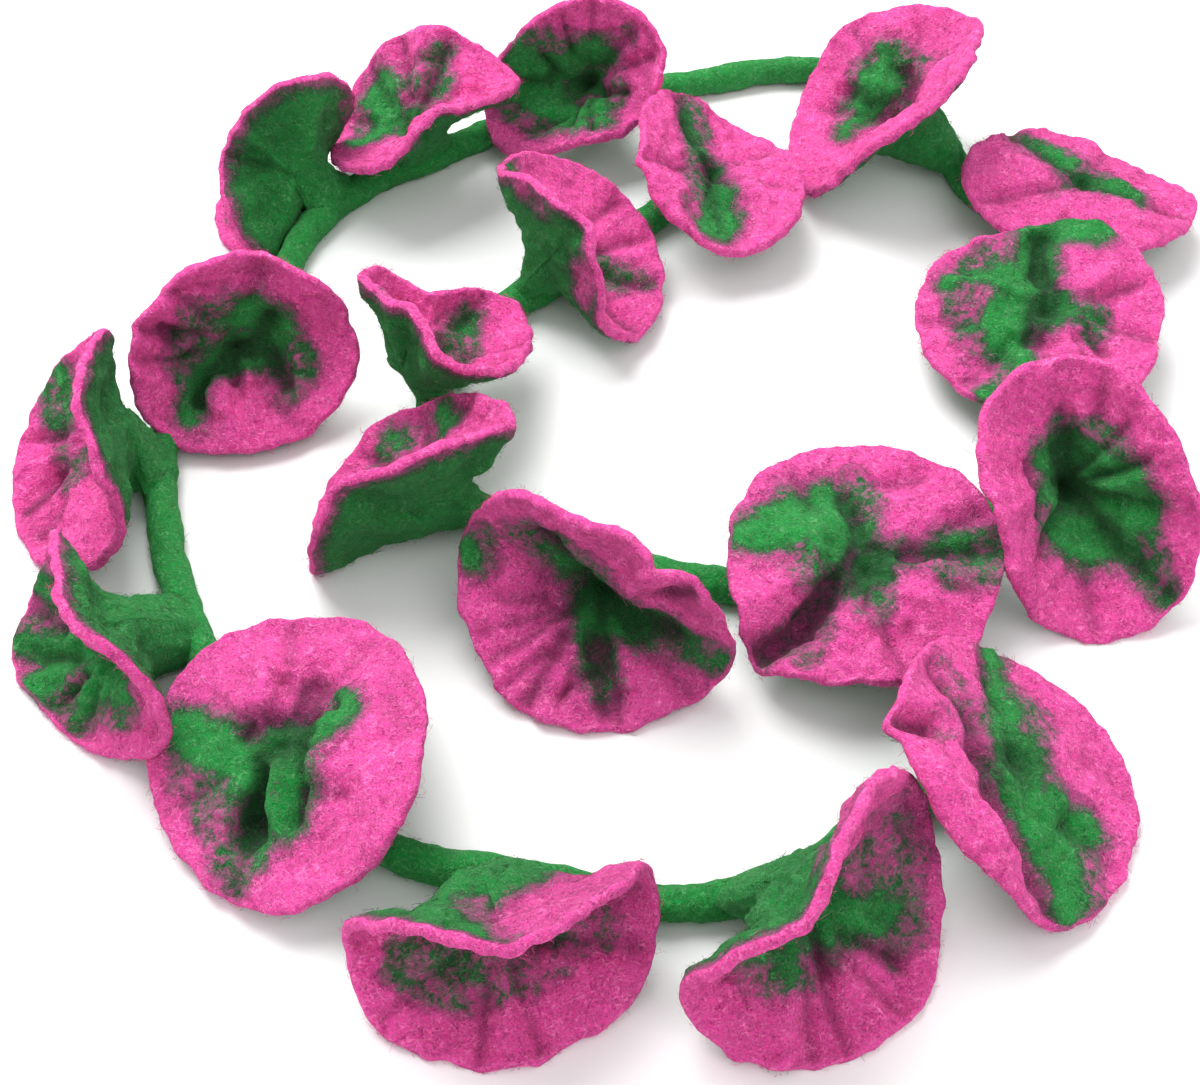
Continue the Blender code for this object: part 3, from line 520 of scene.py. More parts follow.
WAY = rope_way(ROPE_PLACES)
FINE_WAY = rope_way(FINE_ROPE_PLACES)
HEARTS = np.array([b.heart[:2] for b in BLOOMS])


def rope_radius(sizes, places):
    """The rope is thicker where the wool of a bloom runs into it."""
    nearest = np.linalg.norm(places[:, None] - HEARTS[None], axis=2).min(axis=1)
    return sizes.rope_radius / MM + ROPE_SWELL * np.clip(1 - nearest / SWELL_REACH, 0, None)


def unit(vectors):
    return vectors / np.maximum(np.linalg.norm(vectors, axis=-1, keepdims=True), 1e-9)


def lumps(places, size, seed):
    """Smooth noise from -1 to 1 at each place, with hollows about that size across."""
    flat = places.reshape(-1, 3) / size + seed * 17.3
    values = [noise.noise(p, noise_basis="PERLIN_ORIGINAL") for p in flat.tolist()]
    return np.array(values).reshape(places.shape[:-1]) * 1.6


def frame_of(b):
    """The bloom's facing, and its right and top as one looks into it."""
    compass, tilt = b.facing
    level = math.cos(tilt)
    ahead = np.array((level * math.cos(compass), level * math.sin(compass), math.sin(tilt)))
    right = np.array((-math.sin(compass), math.cos(compass), 0.0))
    return ahead, right, np.cross(ahead, right)


def rib_at(b, around):
    """Lean in radians and length of the felt at any angle, smooth between the bloom's ribs."""
    knots, leans, lengths = (np.array([getattr(r, part) for r in b.ribs], float) for part in Rib._fields)
    around = around % 360
    n = len(knots)
    i = np.searchsorted(knots, around, side="right") - 1
    span = (knots[(i + 1) % n] - knots[i]) % 360
    t = ((around - knots[i]) % 360) / span
    lean = smooth(*[leans[(i + k) % n] for k in (-1, 0, 1, 2)], t)
    length = smooth(*[lengths[(i + k) % n] for k in (-1, 0, 1, 2)], t) - 0.8 * RIM_ROUND
    return np.radians(lean), length


def rope_beside(sizes, b):
    """The middle of the rope where the bloom's neck meets it, and the rope's run there."""
    aim = (b.heart - NECK_LENGTH * frame_of(b)[0])[:2]
    k = int(np.linalg.norm(WAY - aim, axis=1).argmin())
    radius = float(rope_radius(sizes, WAY[k:k + 1])[0])
    run = WAY[min(k + 1, len(WAY) - 1)] - WAY[max(k - 1, 0)]
    return np.array((*WAY[k], radius * math.cos(math.pi / 8))), radius, unit(np.array((*run, 0.0)))


def in_rope(sizes, places):
    """The places, pulled sideways until they lie inside the rope."""
    gaps = places[:, None, :2] - FINE_WAY[None]
    k = np.linalg.norm(gaps, axis=2).argmin(axis=1)
    off = places[:, :2] - FINE_WAY[k]
    most = 0.85 * rope_radius(sizes, FINE_WAY[k])
    share = np.minimum(1, most / np.maximum(np.linalg.norm(off, axis=1), 1e-6))
    return np.column_stack((FINE_WAY[k] + off * share[:, None], places[:, 2]))


def throat_depth(sizes, b):
    room = np.linalg.norm(rope_beside(sizes, b)[0] - b.heart) - THROAT_ROOM
    return min(max(room, 0.0), THROAT_MOST)


def on_flat(around, share):
    """The same place on a bloom's felt if it was spread out flat."""
    turn = np.radians(around)
    return FLAT_RADIUS * np.asarray(share)[..., None] * np.stack((np.cos(turn), np.sin(turn)), axis=-1)


def pushed(folds, around, share):
    """How far soft folds push the felt towards its back."""
    around, share = np.broadcast_arrays(np.asarray(around, float), np.asarray(share, float))
    place = on_flat(around, share)
    push = np.zeros(place.shape[:-1])
    for f in folds:
        run = [(on_flat(*stop), 0.0) for stop in f.run]
        push += f.depth * np.exp(-(2 * distance_to(place, run) / f.width) ** 2)
    return push


def face_places(sizes, b, around, share):
    """Places on the inside of the cup: share 0 is the end of the throat and 1 is the rim."""
    around, share = np.broadcast_arrays(np.asarray(around, float), np.asarray(share, float))
    ahead, right, top = frame_of(b)
    lean, length = rib_at(b, around)
    reach, rise = length * np.sin(lean), length * np.cos(lean)
    flare = b.flare * length * np.abs(np.sin(2 * lean))
    bend_out = reach / 2 - flare * np.cos(lean)
    bend_up = rise / 2 + flare * np.sin(lean)
    out = 2 * share * (1 - share) * bend_out + share ** 2 * reach
    up = 2 * share * (1 - share) * bend_up + share ** 2 * rise
    up = up + CUP_DEPTH * 9.5 * share * (1 - share) ** 3
    up = up - throat_depth(sizes, b) * np.clip(1 - share / THROAT_SHARE, 0, None) ** 1.5
    push = pushed(b.folds, around, share) * np.clip((share - FOLDS_FROM) * 5, 0, 1)
    out, up = out + push * np.cos(lean), up - push * np.sin(lean)
    turn = np.radians(around)[..., None]
    spoke = np.cos(turn) * right + np.sin(turn) * top
    places = b.heart + out[..., None] * spoke + up[..., None] * ahead
    places[..., 2] = np.maximum(places[..., 2], sizes.rim_felt / MM)
    return places


def out_of_back(sizes, b, around, share):
    """The direction from the inside of the felt to the bloom's back."""
    along = face_places(sizes, b, around, np.minimum(share + 0.04, 1.0))
    along = along - face_places(sizes, b, around, share - 0.04)
    across = face_places(sizes, b, around + 6, share) - face_places(sizes, b, around - 6, share)
    return unit(np.cross(across, along))


def distance_to(places, run):
    """Distance of each place from a run of points that has a width at each: below zero inside."""
    best = np.full(places.shape[:-1], 1e3)
    if len(run) == 1:
        run = run * 2
    for (a, wide_a), (b, wide_b) in zip(run, run[1:]):
        step = b - a
        t = np.clip((places - a) @ step / max(step @ step, 1e-6), 0, 1)
        gap = np.linalg.norm(places - (a + t[..., None] * step), axis=-1)
        best = np.minimum(best, gap - (wide_a + (wide_b - wide_a) * t) / 2)
    return best


def run_on(sizes, b, row):
    """A row of around, share and width as points on the bloom's inside."""
    row = (row,) if not hasattr(row[0], "__len__") else row
    return [(face_places(sizes, b, a, s), w) for a, s, w in row]


def wrinkled(places, number):
    """Soft wrinkles that wander over the felt where it was rubbed and shrunk: 1 in a wrinkle."""
    line = lumps(places, 17, number + 200)
    depth = np.clip(lumps(places, 26, number + 220) + 0.45, 0, 1)
    return depth * np.exp(-(line / 0.26) ** 2)


def bloom_rows(sizes, number):
    """Every row of the bloom's skin, from its neck over its back and rim down to its heart."""
    b, w = BLOOMS[number - 1], WOOLS[number - 1]
    ahead, right, top = frame_of(b)
    around = np.linspace(0, 360, AROUND_PLACES)
    crumple = sizes.crumple / MM
    felt_at_rim = sizes.rim_felt / MM
    turn = np.radians(around)[:, None]
    spokes = np.cos(turn) * right + np.sin(turn) * top

    # The felt is pinched along the middle of every fold
    cores = [Fold(PINCH_WIDTH * f.width, PINCH_DEPTH * f.depth, f.run) for f in b.folds]
    # Narrower runs of the folds and creases, which get painted shade
    shadows = [Fold(SHADOW_WIDTH * f.width, f.depth, f.run) for f in (*b.folds, *w.creases)]

    # The rim wanders in and out along each rib
    edge = face_places(sizes, b, around, 1.0)
    waver = sizes.rim_waver / MM * (lumps(edge, 9, number) + 0.5 * lumps(edge, 4, number + 40))
    reach = 1 + waver / 42

    def sheet(share):
        """Inside and back of the felt at one share of every rib, with creases and lumps."""
        at = share * (1 + (reach - 1) * share ** 3)
        near_heart = max(0.0, 1 - share / CALYX_SHARE)
        place = face_places(sizes, b, around, at)
        away = out_of_back(sizes, b, around, np.minimum(at, 1.0))
        push = CREASE_DEPTH * pushed(w.creases, around, share)
        push = push + (1 - share ** 6) * pushed(cores, around, share)
        push *= min(1.0, 3 * share)
        loose = 1.1 * lumps(place, 15, number) + 0.6 * lumps(place, 7, number + 20)
        loose = loose + 1.2 * wrinkled(place, number)
        push += crumple * loose * min(1.0, 3 * share) * (1 - 0.5 * share ** 4)
        # How much painted shade the felt gets here: its creases' shadows and a little in the troughs of
        # its lumps
        deep = pushed(shadows, around, share) + 0.4 * crumple * loose
        inside = place + away * (push + 0.5 * crumple * lumps(place, 3.4, number + 60))[:, None]
        inside[:, 2] = np.maximum(inside[:, 2], LOWEST_INSIDE)
        steep = (np.clip(np.cos(rib_at(b, around)[0]), 0, None) * math.cos(b.facing[1]))[:, None]
        turned = (0.55 - 0.4 * steep) * near_heart
        lean_back = unit(away * (1 - turned) - ahead * turned)
        felt = felt_at_rim + (HEART_FELT + STEEP_FELT * steep - felt_at_rim) * near_heart
        back = place + away * push[:, None] + lean_back * felt
        back += lean_back * (0.5 * crumple * lumps(back, 4.2, number + 80))[:, None]
        return inside, back, deep

    back_shares = list(np.linspace(*SHEET_SHARES))
    shares = list(np.linspace(*NEAR_HEART_SHARES)) + back_shares
    sheets = {s: sheet(float(s)) for s in shares}
    backs = [sheets[s][1] for s in back_shares]
    faces = [sheets[s][0] for s in shares]

    # Neck: from inside the rope up to the first row of the back
    anchor, radius, run = rope_beside(sizes, b)
    to_rope = unit(anchor - b.heart)
    swing = Vector(-ahead).rotation_difference(Vector(to_rope)).to_matrix()
    spread = spokes @ np.array(swing).T
    spread = spread + NECK_ALONG * (spread @ run)[:, None] * run
    seat = anchor - to_rope * radius * NECK_SEAT
    ring = in_rope(sizes, seat + NECK_RADIUS * spread)
    start = 0.9 * (backs[0] - ring)
    arrive = 2.2 * (backs[1] - backs[0])
    neck = []
    for t in np.linspace(0, 1, NECK_STEPS, endpoint=False):
        h = (2 * t ** 3 - 3 * t * t + 1, t ** 3 - 2 * t * t + t, -2 * t ** 3 + 3 * t * t, t ** 3 - t * t)
        row = h[0] * ring + h[1] * start + h[2] * backs[0] + h[3] * arrive
        row = row + unit(row - row.mean(axis=0)) * (0.6 * crumple * lumps(row, 5, number + 90))[:, None]
        neck.append(row)
    tip = [in_rope(sizes, seat + to_rope * deep + NECK_RADIUS * wide * spread) for deep, wide in TIP]
    neck = tip + neck

    # Rim: half a round from the back to the inside
    face, back = faces[-1], backs[-1]
    outward = unit(face - faces[-2])
    rim = []
    for angle in np.radians((30, 60, 90, 120, 150)):
        centre = (face + back) / 2
        bulge = RIM_ROUND * (1 + 0.25 * lumps(centre, 5, number + 110))
        across = (back - face) / 2 * math.cos(angle)
        rim.append(centre + across + outward * (math.sin(angle) * bulge)[:, None])

    # Painted shade: troughs on the inside, the back with more behind the inside's ridges, the neck, and
    # the cup's depth
    flat = np.zeros(len(around))
    hollows = [flat + 0.03 * k for k in range(len(neck))]
    hollows += [0.4 - sheets[s][2] / 5 for s in back_shares] + [flat] * len(rim)
    hollows += [np.clip(sheets[s][2] / 3.4, 0, 1) + math.exp(-(s / 0.2) ** 2) for s in shares[::-1]]
    hollows += [flat + 1]

    heart = [np.repeat(face_places(sizes, b, 0, 0.0)[None], len(around), axis=0)]
    rows = neck + backs + rim + faces[::-1] + heart
    share_of = [0.0] * len(neck) + back_shares + [1.0] * len(rim) + shares[::-1] + [0.0]
    side_of = ["neck"] * len(neck) + ["back"] * len(backs)
    side_of += ["rim"] * len(rim) + ["face"] * (len(faces) + 1)
    rows = np.array(rows)
    rows[:, -1] = rows[:, 0]

    # Felt that would reach the table is pressed a little way into its own thickness
    on_table = np.maximum(rows[..., 2], 0)
    rows[..., 2] = np.where(rows[..., 2] < 0.4, 0.12 + 0.7 * on_table, rows[..., 2])
    return rows, np.clip(hollows, 0, 1), share_of, side_of


def wool_on(sizes, number, rows, share_of, side_of):
    """How pink every place is, 0.5 at the edge of the green, and how dusky: the two colours of its wool.
    """
    b, w = BLOOMS[number - 1], WOOLS[number - 1]
    _, length = rib_at(b, np.linspace(0, 360, rows.shape[1]))
    streaks = [run_on(sizes, b, row) for row in w.streaks]
    patches = [run_on(sizes, b, row) for row in w.patches]
    dusks = [run_on(sizes, b, row) for row in w.dusks]
    heart = [(face_places(sizes, b, 0, 0.04), 2.0 * w.heart)]
    pink, dusk = np.zeros(rows.shape[:2]), np.zeros(rows.shape[:2])
    for k, (share, side) in enumerate(zip(share_of, side_of)):
        place = rows[k]
        wander = 1.3 * lumps(place, 9, number + 130) + 0.9 * lumps(place, 3.2, number + 150)
        inside = np.full(len(place), 1e3)
        for run in [heart] + streaks:
            inside = np.minimum(inside, distance_to(place, run))
        dusk[k] = 0.5 * np.clip(lumps(place, 13, number + 170) - 0.05, 0, 1)
        for run in dusks:
            depth = distance_to(place, run)
            dusk[k] = np.maximum(dusk[k], np.clip(0.7 - (depth + wander) / 7, 0, 1))
        if side in ("back", "neck"):
            value = np.clip(3.0 - (1 - share) * length + 0.8 * wander, -12, 12)
            for run in patches:
                value = np.maximum(value, -distance_to(place, run) - 1.5 + wander)
            dusk[k] = np.maximum(0.6 * dusk[k], 0.12 + 0.08 * wander) if side == "back" else 0
        elif side == "rim":
            value = inside + wander + 3.5
        else:
            value = inside + wander
        pink[k] = np.clip(0.5 + value / DYE_RANGE, 0, 1)
    return pink, np.clip(dusk, 0, 1)


# Materials

# Attributes of the skins: how pink and how dusky the wool is, and the painted shade in its hollows
DYES_AND_SHADE = ("pinkness", "duskiness", "hollowness")
PALE_FIBRE = "E8B4C8"


def node(tree, kind, inputs=None, **settings):
    """Adds a node, sets its settings, and sets or links its inputs."""
    made = tree.nodes.new(kind)
    for name, value in settings.items():
        setattr(made, name, value)
    for name, value in (inputs or {}).items():
        if isinstance(value, bpy.types.NodeSocket):
            tree.links.new(value, made.inputs[name])
        else:
            made.inputs[name].default_value = value
    return made


def noise_field(tree, where, scale, **inputs):
    """Noise from 0 to 1, with hollows about 1 / scale metres across."""
    wanted = {"Vector": where, "Scale": scale, **inputs}
    return node(tree, "ShaderNodeTexNoise", wanted).outputs["Fac"]


def ramp_between(tree, value, lowest, highest, low, high):
    """The value's place between its lowest and highest, as a number from low to high."""
    span = {"Value": value, "From Min": lowest, "From Max": highest, "To Min": low, "To Max": high}
    return node(tree, "ShaderNodeMapRange", span).outputs[0]


def tinted(tree, colour, saturation, value):
    wanted = {"Color": colour, "Saturation": saturation, "Value": value}
    return node(tree, "ShaderNodeHueSaturation", wanted).outputs[0]


def calculated(tree, operation, *values):
    return node(tree, "ShaderNodeMath", dict(enumerate(values)), operation=operation).outputs[0]


def sum_of(tree, *terms):
    """Adds up sockets, each with how much of it counts."""
    total = None
    for socket, amount in terms:
        part = calculated(tree, "MULTIPLY", socket, amount)
        total = part if total is None else calculated(tree, "ADD", total, part)
    return total


def fibres_of(tree, where, scale, thin, seed):
    """Thin curling lines, 1 on a fibre and 0 between, where a noise passes through its middle."""
    aside = (seed, seed * 0.37, -seed)
    moved = node(tree, "ShaderNodeMapping", {"Vector": where, "Location": aside}).outputs[0]
    field = noise_field(tree, moved, scale, Detail=1.2, Roughness=0.4, Distortion=0.9)
    off = calculated(tree, "ABSOLUTE", calculated(tree, "SUBTRACT", field, 0.5))
    return ramp_between(tree, off, 0.0, thin, 1.0, 0.0)


def blend(tree, amount, first, second):
    mix = node(tree, "ShaderNodeMix", data_type="RGBA", clamp_factor=True)
    for socket, value in ((mix.inputs[0], amount), (mix.inputs[6], first), (mix.inputs[7], second)):
        if isinstance(value, bpy.types.NodeSocket):
            tree.links.new(value, socket)
        else:
            socket.default_value = value if isinstance(value, float) else (*value, 1)
    return mix.outputs[2]


def felted_wool(name, colours):
    """Wet-felted wool: pink and green fibres matted into each other, with a soft bloom of light."""
    material = bpy.data.materials.new(name)
    material.use_nodes = True
    tree = material.node_tree
    surface = tree.nodes["Principled BSDF"]
    where = node(tree, "ShaderNodeTexCoord").outputs["Object"]
    pinkness, duskiness, hollowness = (
        node(tree, "ShaderNodeAttribute", attribute_name=colour_layer).outputs["Fac"] for colour_layer in DYES_AND_SHADE)

    # Blotches of 8 mm, mats of 2.5 mm, and the fibres themselves
    blotch = noise_field(tree, where, 120.0, Detail=3.0)
    mats = noise_field(tree, where, 420.0, Detail=4.0, Roughness=0.65, Distortion=0.6)
    grain = noise_field(tree, where, 1500.0, Detail=2.0)
    long_fibres = fibres_of(tree, where, 190.0, 0.019, 3.1)
    fibres = fibres_of(tree, where, 340.0, 0.03, 7.7)
    short_fibres = fibres_of(tree, where, 620.0, 0.05, 1.3)
    fine_fibres = fibres_of(tree, where, 1050.0, 0.06, 5.9)

    # Mixing wool: the edge of the green is broken up by mats and by single fibres
    edge = sum_of(tree, (pinkness, 1.0), (blotch, 0.1), (mats, 0.12), (grain, 0.06), (fibres, 0.09),
                  (long_fibres, -0.1))
    mottle = sum_of(tree, (mats, 0.5), (blotch, 0.5), (fibres, -0.05))
    mottle = ramp_between(tree, mottle, 0.38, 0.62, 0.57, 0.8)
    mixed = calculated(tree, "MULTIPLY", duskiness, 0.85)
    edge = node(tree, "ShaderNodeMix", {0: mixed, 2: edge, 3: mottle}, data_type="FLOAT").outputs[0]
    ramp = node(tree, "ShaderNodeValToRGB", {"Fac": edge})
    stops = ramp.color_ramp
    stops.interpolation = "EASE"
    steps = ((0.57, colours.green), (0.635, colours.shade), (0.7, colours.mauve),
             (0.78, colours.rose), (0.9, colours.pink))
    while len(stops.elements) < len(steps):
        stops.elements.new(0.5)
    for element, (place, colour) in zip(stops.elements, steps):
        element.position = place
        element.color = (*colour, 1)
    colour = ramp.outputs["Color"]

    # Pale fibres lie over the mats, and the gaps between them get painted shade
    pale = blend(tree, 0.08, tinted(tree, colour, 0.9, 1.7), linear(PALE_FIBRE))
    gaps = sum_of(tree, (mats, 0.45), (grain, 0.35), (blotch, 0.2))
    gaps = ramp_between(tree, gaps, 0.52, 0.38, 0.0, 0.75)
    colour = blend(tree, gaps, colour, tinted(tree, colour, 1.15, 0.38))
    laid = sum_of(tree, (fibres, 0.5), (short_fibres, 0.36), (long_fibres, 0.55), (fine_fibres, 0.25))
    colour = blend(tree, laid, colour, pale)
    # Painted shade in the hollows of the felt, carried in the third attribute
    deep = calculated(tree, "MULTIPLY", hollowness, 0.85)
    colour = blend(tree, deep, colour, tinted(tree, colour, 1.0, 0.2))
    tree.links.new(colour, surface.inputs["Base Color"])

    height = sum_of(tree, (mats, 1.0), (fibres, 0.25), (short_fibres, 0.2), (long_fibres, 0.25),
                    (fine_fibres, 0.12), (grain, 0.3))
    bump = node(tree, "ShaderNodeBump", {"Height": height, "Strength": 0.9, "Distance": 0.0014})
    tree.links.new(bump.outputs[0], surface.inputs["Normal"])
    surface.inputs["Roughness"].default_value = 0.95
    surface.inputs["Specular IOR Level"].default_value = 0.15
    surface.inputs["Sheen Weight"].default_value = 0.07
    surface.inputs["Sheen Roughness"].default_value = 0.6
    surface.inputs["Sheen Tint"].default_value = (1.0, 0.92, 0.96, 1)
    return material


def wool_material(colours):
    return bpy.data.materials.get("felted_wool") or felted_wool("felted_wool", colours)


# Making the pieces

# A loose fibre's steps, half its width in millimetres, and how far its pink, dusk and painted shade are
# from the skin's
FIBRE_STEPS = 3
FIBRE_WIDTH = 0.06
FIBRE_DYES_AND_SHADE = (0.09, 0.08, 0.0)


def skin(name, rows, dyes_and_shade, material):
    """A closed skin from rows of places: a grid is drawn out along them and its edges are joined."""
    work = bmesh.new()
    across, along = rows.shape[1], rows.shape[0]
    bmesh.ops.create_grid(work, x_segments=across - 1, y_segments=along - 1, size=1)
    layers = [work.verts.layers.float.new(colour_layer) for colour_layer in DYES_AND_SHADE]
    places = (rows.reshape(-1, 3) - (*MIDDLE, 0)) * MM
    for vert, place, *values in zip(work.verts, places.tolist(), *(colour_layer.ravel().tolist() for colour_layer in dyes_and_shade)):
        vert.co = place
        for layer, value in zip(layers, values):
            vert[layer] = value
    bmesh.ops.remove_doubles(work, verts=work.verts, dist=2e-6)
    bmesh.ops.recalc_face_normals(work, faces=work.faces)
    mesh = bpy.data.meshes.new(name)
    work.to_mesh(mesh)
    work.free()
    mesh.shade_smooth()
    mesh.materials.append(material)
    piece = bpy.data.objects.new(name, mesh)
    bpy.context.scene.collection.objects.link(piece)
    return piece


def stray_fibres(name, rows, dyes_and_shade, count, length, seed, material, keep=None):
    """Loose wool on a skin: thin curling ribbons that start in it, and some that lift off it."""
    random = np.random.default_rng(seed)
    along, across = rows.shape[:2]
    ups = np.gradient(rows, axis=0)
    rounds = np.gradient(rows, axis=1)
    outs = unit(np.cross(rounds, ups))
    weight = np.linalg.norm(np.cross(rounds, ups), axis=2)
    if keep is not None:
        weight = weight * keep[:, None]
    weight[:1] = weight[-1:] = 0
    chosen = random.choice(along * across, size=count, p=(weight / weight.sum()).ravel())
    k, j = np.unravel_index(chosen, (along, across))
    curve = bpy.data.curves.new(name, "CURVE")
    curve.dimensions = "3D"
    curve.extrude = FIBRE_WIDTH * MM
    for n in range(count):
        place, out = rows[k[n], j[n]], outs[k[n], j[n]]
        heading = unit(random.normal(size=3))
        heading = unit(heading - (heading @ out) * out)
        beside = np.cross(out, heading)
        lift = random.random() ** 3
        total = length * (0.5 + random.random()) * (1 - 0.45 * lift)
        curl = random.normal() * 2.2
        spot = place + out * 0.05
        line = []
        for step in range(FIBRE_STEPS + 1):
            line += [*((spot - (*MIDDLE, 0)) * MM), 1]
            swing = curl * step / FIBRE_STEPS + random.normal() * 0.45
            ahead = math.cos(swing) * heading + math.sin(swing) * beside
            rise = 0.06 + 0.8 * lift * (FIBRE_STEPS - step) / FIBRE_STEPS
            onward = ahead * math.sqrt(max(1 - rise * rise, 0.1)) + out * rise
            spot = spot + onward * total / FIBRE_STEPS
            spot[2] = max(spot[2], 0.1)
        spline = curve.splines.new("POLY")
        spline.points.add(FIBRE_STEPS)
        spline.points.foreach_set("co", line)
    holder = bpy.data.objects.new(name, curve)
    bpy.context.scene.collection.objects.link(holder)
    ready = holder.evaluated_get(bpy.context.evaluated_depsgraph_get())
    mesh = bpy.data.meshes.new_from_object(ready)
    bpy.data.objects.remove(holder)
    mesh.name = name
    each = len(mesh.vertices) // count
    for colour_layer, values, spread in zip(DYES_AND_SHADE, dyes_and_shade, FIBRE_DYES_AND_SHADE):
        own = values[k, j] + spread * random.normal(size=count)
        mesh.attributes.new(colour_layer, "FLOAT", "POINT")
        mesh.attributes[colour_layer].data.foreach_set("value", np.repeat(own, each).astype(np.float32))
    mesh.materials.clear()
    mesh.materials.append(material)
    piece = bpy.data.objects.new(name, mesh)
    bpy.context.scene.collection.objects.link(piece)
    return piece


class GARLAND_OT_rope(bpy.types.Operator):
    """Make the felted rope along its spiral, with its loose fibres"""

    bl_idname = "garland.rope"
    bl_label = "Felt rope"

    def execute(self, context):
        sizes, colours = context.scene.garland_sizes, context.scene.garland_colours
        way = FINE_WAY
        radius = rope_radius(sizes, way)
        run = unit(np.gradient(way, axis=0))
        side = np.stack([-run[:, 1], run[:, 0], np.zeros(len(run))], axis=1)
        middle = np.column_stack([way, radius * math.cos(math.pi / 8)])
        around = np.radians(np.linspace(0, 360, ROPE_AROUND))[None, :, None]
        spokes = np.cos(around) * side[:, None] + np.sin(around) * np.array((0, 0, 1.0))
        rows = middle[:, None] + radius[:, None, None] * spokes
        lump = 0.5 * lumps(rows, 12, 301) + 0.35 * lumps(rows, 5, 302) + 0.2 * lumps(rows, 2.4, 303)
        rows = rows + spokes * lump[..., None]

        # Both ends are rounded off, and the underside is pressed flat
        for end, inner in ((0, 1), (-1, -2)):
            away = unit(middle[end] - middle[inner])
            caps = [middle[end] + (rows[end] - middle[end]) * shrink + away * 1.2 * step
                    for shrink, step in ((0.93, 0.3), (0.75, 0.6), (0.45, 0.8), (0.0, 0.9))]
            rows = np.concatenate((rows, caps)) if end else np.concatenate((caps[::-1], rows))
        lump = np.pad(lump, ((4, 4), (0, 0)))
        rows[:, -1] = rows[:, 0]
        rows[..., 2] = np.maximum(rows[..., 2], 0.05)

        green = np.clip(0.04 + 0.06 * lumps(rows, 20, 304), 0, 1)
        material = wool_material(colours)
        # Painted shade in the dips between the rope's lumps
        dyes_and_shade = (green, np.zeros_like(green), np.clip(-0.35 * lump, 0, 1))
        rope = skin("felt_rope", rows, dyes_and_shade, material)
        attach(rope, "root")
        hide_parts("rope")
        fibre = sizes.fibre_length / MM * 0.9
        loose = stray_fibres("loose_wool_rope", rows, dyes_and_shade, ROPE_FIBRES, fibre, 5, material)
        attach(loose, "root")
        return {"FINISHED"}


class GARLAND_OT_blooms(bpy.types.Operator):
    """Make the twenty felt blooms, each with its own ruffles, wool and loose fibres"""

    bl_idname = "garland.blooms"
    bl_label = "Felt blooms"

    def execute(self, context):
        sizes, colours = context.scene.garland_sizes, context.scene.garland_colours
        material = wool_material(colours)
        for number in range(1, len(BLOOMS) + 1):
            rows, hollows, share_of, side_of = bloom_rows(sizes, number)
            # Its third attribute is painted shade in the bloom's hollows
            dyes_and_shade = (*wool_on(sizes, number, rows, share_of, side_of), hollows)
            flower = skin(f"felt_bloom_{number:02d}", rows, dyes_and_shade, material)
            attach(flower, "root")
            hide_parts(f"bloom_{number:02d}")
            if sizes.fibres:
                # Few fibres stand off the neck's end, and more off the rim
                keep = np.array([0.15 if s == "neck" and n < 3 else 1.6 if s == "rim" else 1.0
                                 for n, s in enumerate(side_of)])
                loose = stray_fibres(f"loose_wool_{number:02d}", rows, dyes_and_shade, sizes.fibres,
                                     sizes.fibre_length / MM, number, material, keep)
                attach(loose, "root")
        return {"FINISHED"}


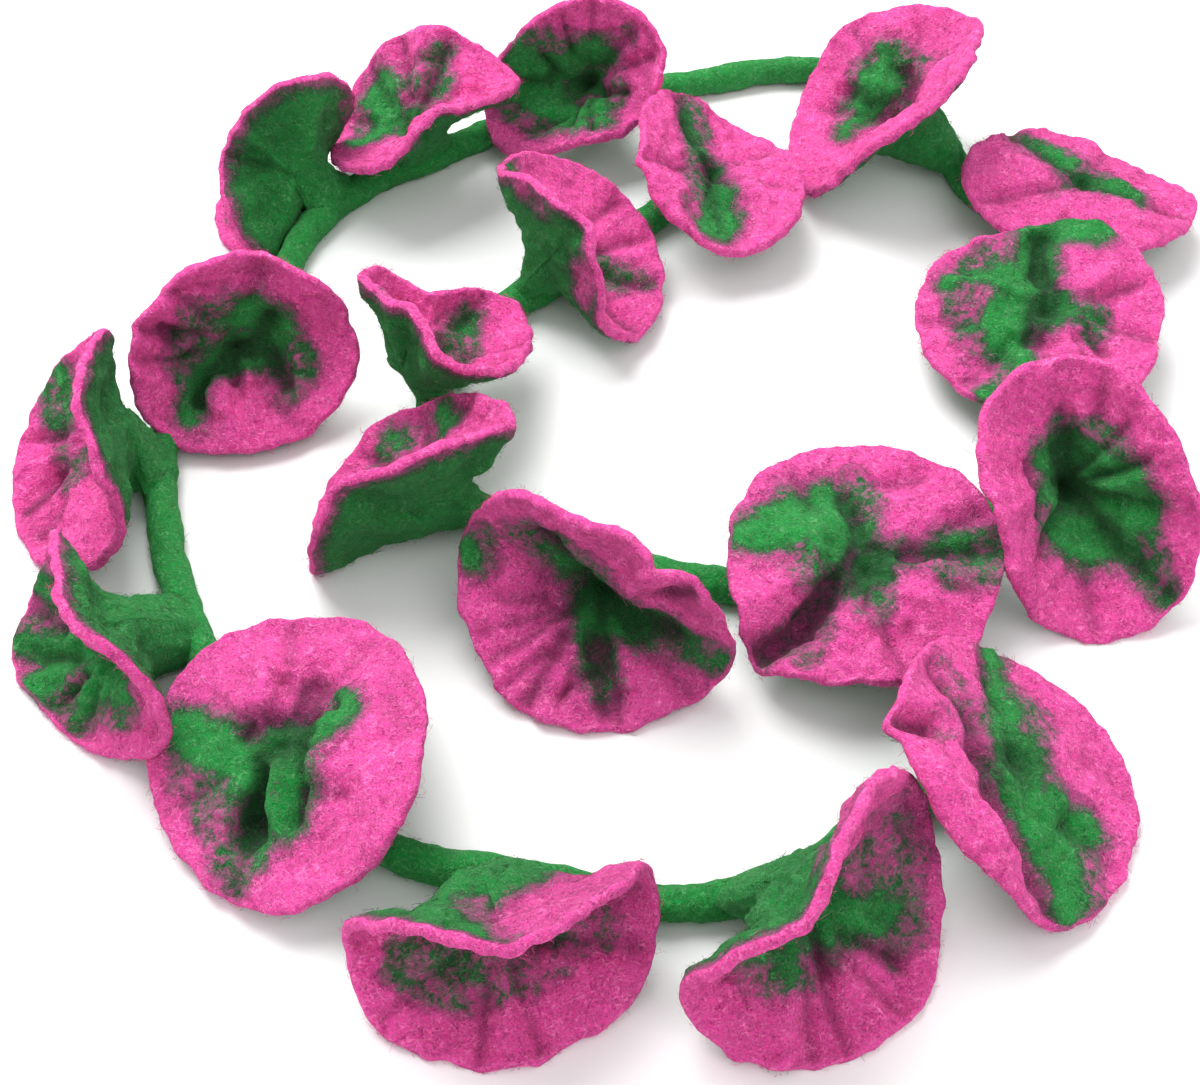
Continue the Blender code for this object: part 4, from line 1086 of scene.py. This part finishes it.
class GARLAND_OT_stage(bpy.types.Operator):
    """Make the pale floor, the soft studio light and the camera"""

    bl_idname = "garland.stage"
    bl_label = "Floor, light and camera"

    def execute(self, context):
        scene = context.scene
        work = bmesh.new()
        bmesh.ops.create_circle(work, cap_ends=True, radius=4.0, segments=96)
        mesh = bpy.data.meshes.new("floor")
        work.to_mesh(mesh)
        work.free()
        floor = bpy.data.objects.new("floor", mesh)
        floor.location.z = -0.0002
        paper = bpy.data.materials.new("white_paper")
        paper.use_nodes = True
        surface = paper.node_tree.nodes["Principled BSDF"]
        surface.inputs["Base Color"].default_value = (0.92, 0.92, 0.92, 1)
        surface.inputs["Roughness"].default_value = 0.9
        mesh.materials.append(paper)
        scene.collection.objects.link(floor)

        # A wide soft box high up behind the garland, and a weaker one from the near right
        for name, place, size, power in (("key_light", (-0.4, 0.72, 1.15), 1.0, 26.0),
                                         ("fill_light", (0.6, -0.7, 1.1), 1.2, 4.5)):
            lamp = bpy.data.lights.new(name, "AREA")
            lamp.size = size
            lamp.energy = power
            stand = bpy.data.objects.new(name, lamp)
            stand.location = place
            stand.rotation_euler = (-Vector(place)).to_track_quat("-Z", "Y").to_euler()
            scene.collection.objects.link(stand)
        world = bpy.data.worlds.new("soft_room")
        world.use_nodes = True
        world.node_tree.nodes["Background"].inputs["Color"].default_value = (1, 1, 1, 1)
        world.node_tree.nodes["Background"].inputs["Strength"].default_value = 0.74
        scene.world = world
        scene.view_settings.view_transform = "Standard"

        # The photograph was taken from 0.56 m away, 52 degrees above the table
        lens = bpy.data.cameras.new("camera")
        lens.sensor_fit = "HORIZONTAL"
        lens.sensor_width = 36.0
        lens.lens = 51.0
        camera = bpy.data.objects.new("camera", lens)
        looks_at = Vector((-MIDDLE[0], -MIDDLE[1], 0)) * MM
        rise = math.radians(52)
        camera.location = looks_at + 0.561 * Vector((0, -math.cos(rise), math.sin(rise)))
        camera.rotation_euler = (looks_at - camera.location).to_track_quat("-Z", "Y").to_euler()
        scene.collection.objects.link(camera)
        scene.camera = camera
        return {"FINISHED"}


class GARLAND_PT_panel(bpy.types.Panel):
    """Sizes, colours and the steps that make the garland"""

    bl_idname = "GARLAND_PT_panel"
    bl_label = "Felt flower garland"
    bl_space_type = "VIEW_3D"
    bl_region_type = "UI"
    bl_category = "Garland"

    def draw(self, context):
        column = self.layout.column()
        for group in (context.scene.garland_sizes, context.scene.garland_colours):
            for name in group.__annotations__:
                column.prop(group, name)
        for step in STEPS:
            column.operator(step.bl_idname)


STEPS = (GARLAND_OT_stage, GARLAND_OT_rope, GARLAND_OT_blooms)
CLASSES = (GarlandSizes, GarlandColours, *STEPS, GARLAND_PT_panel)


def register():
    for kind in CLASSES:
        bpy.utils.register_class(kind)
    bpy.types.Scene.garland_sizes = bpy.props.PointerProperty(type=GarlandSizes)
    bpy.types.Scene.garland_colours = bpy.props.PointerProperty(type=GarlandColours)


def unregister():
    del bpy.types.Scene.garland_colours
    del bpy.types.Scene.garland_sizes
    for kind in reversed(CLASSES):
        bpy.utils.unregister_class(kind)


def main():
    register()
    bpy.ops.garland.stage()
    bpy.ops.garland.rope()
    bpy.ops.garland.blooms()


if __name__ == "__main__":
    main()
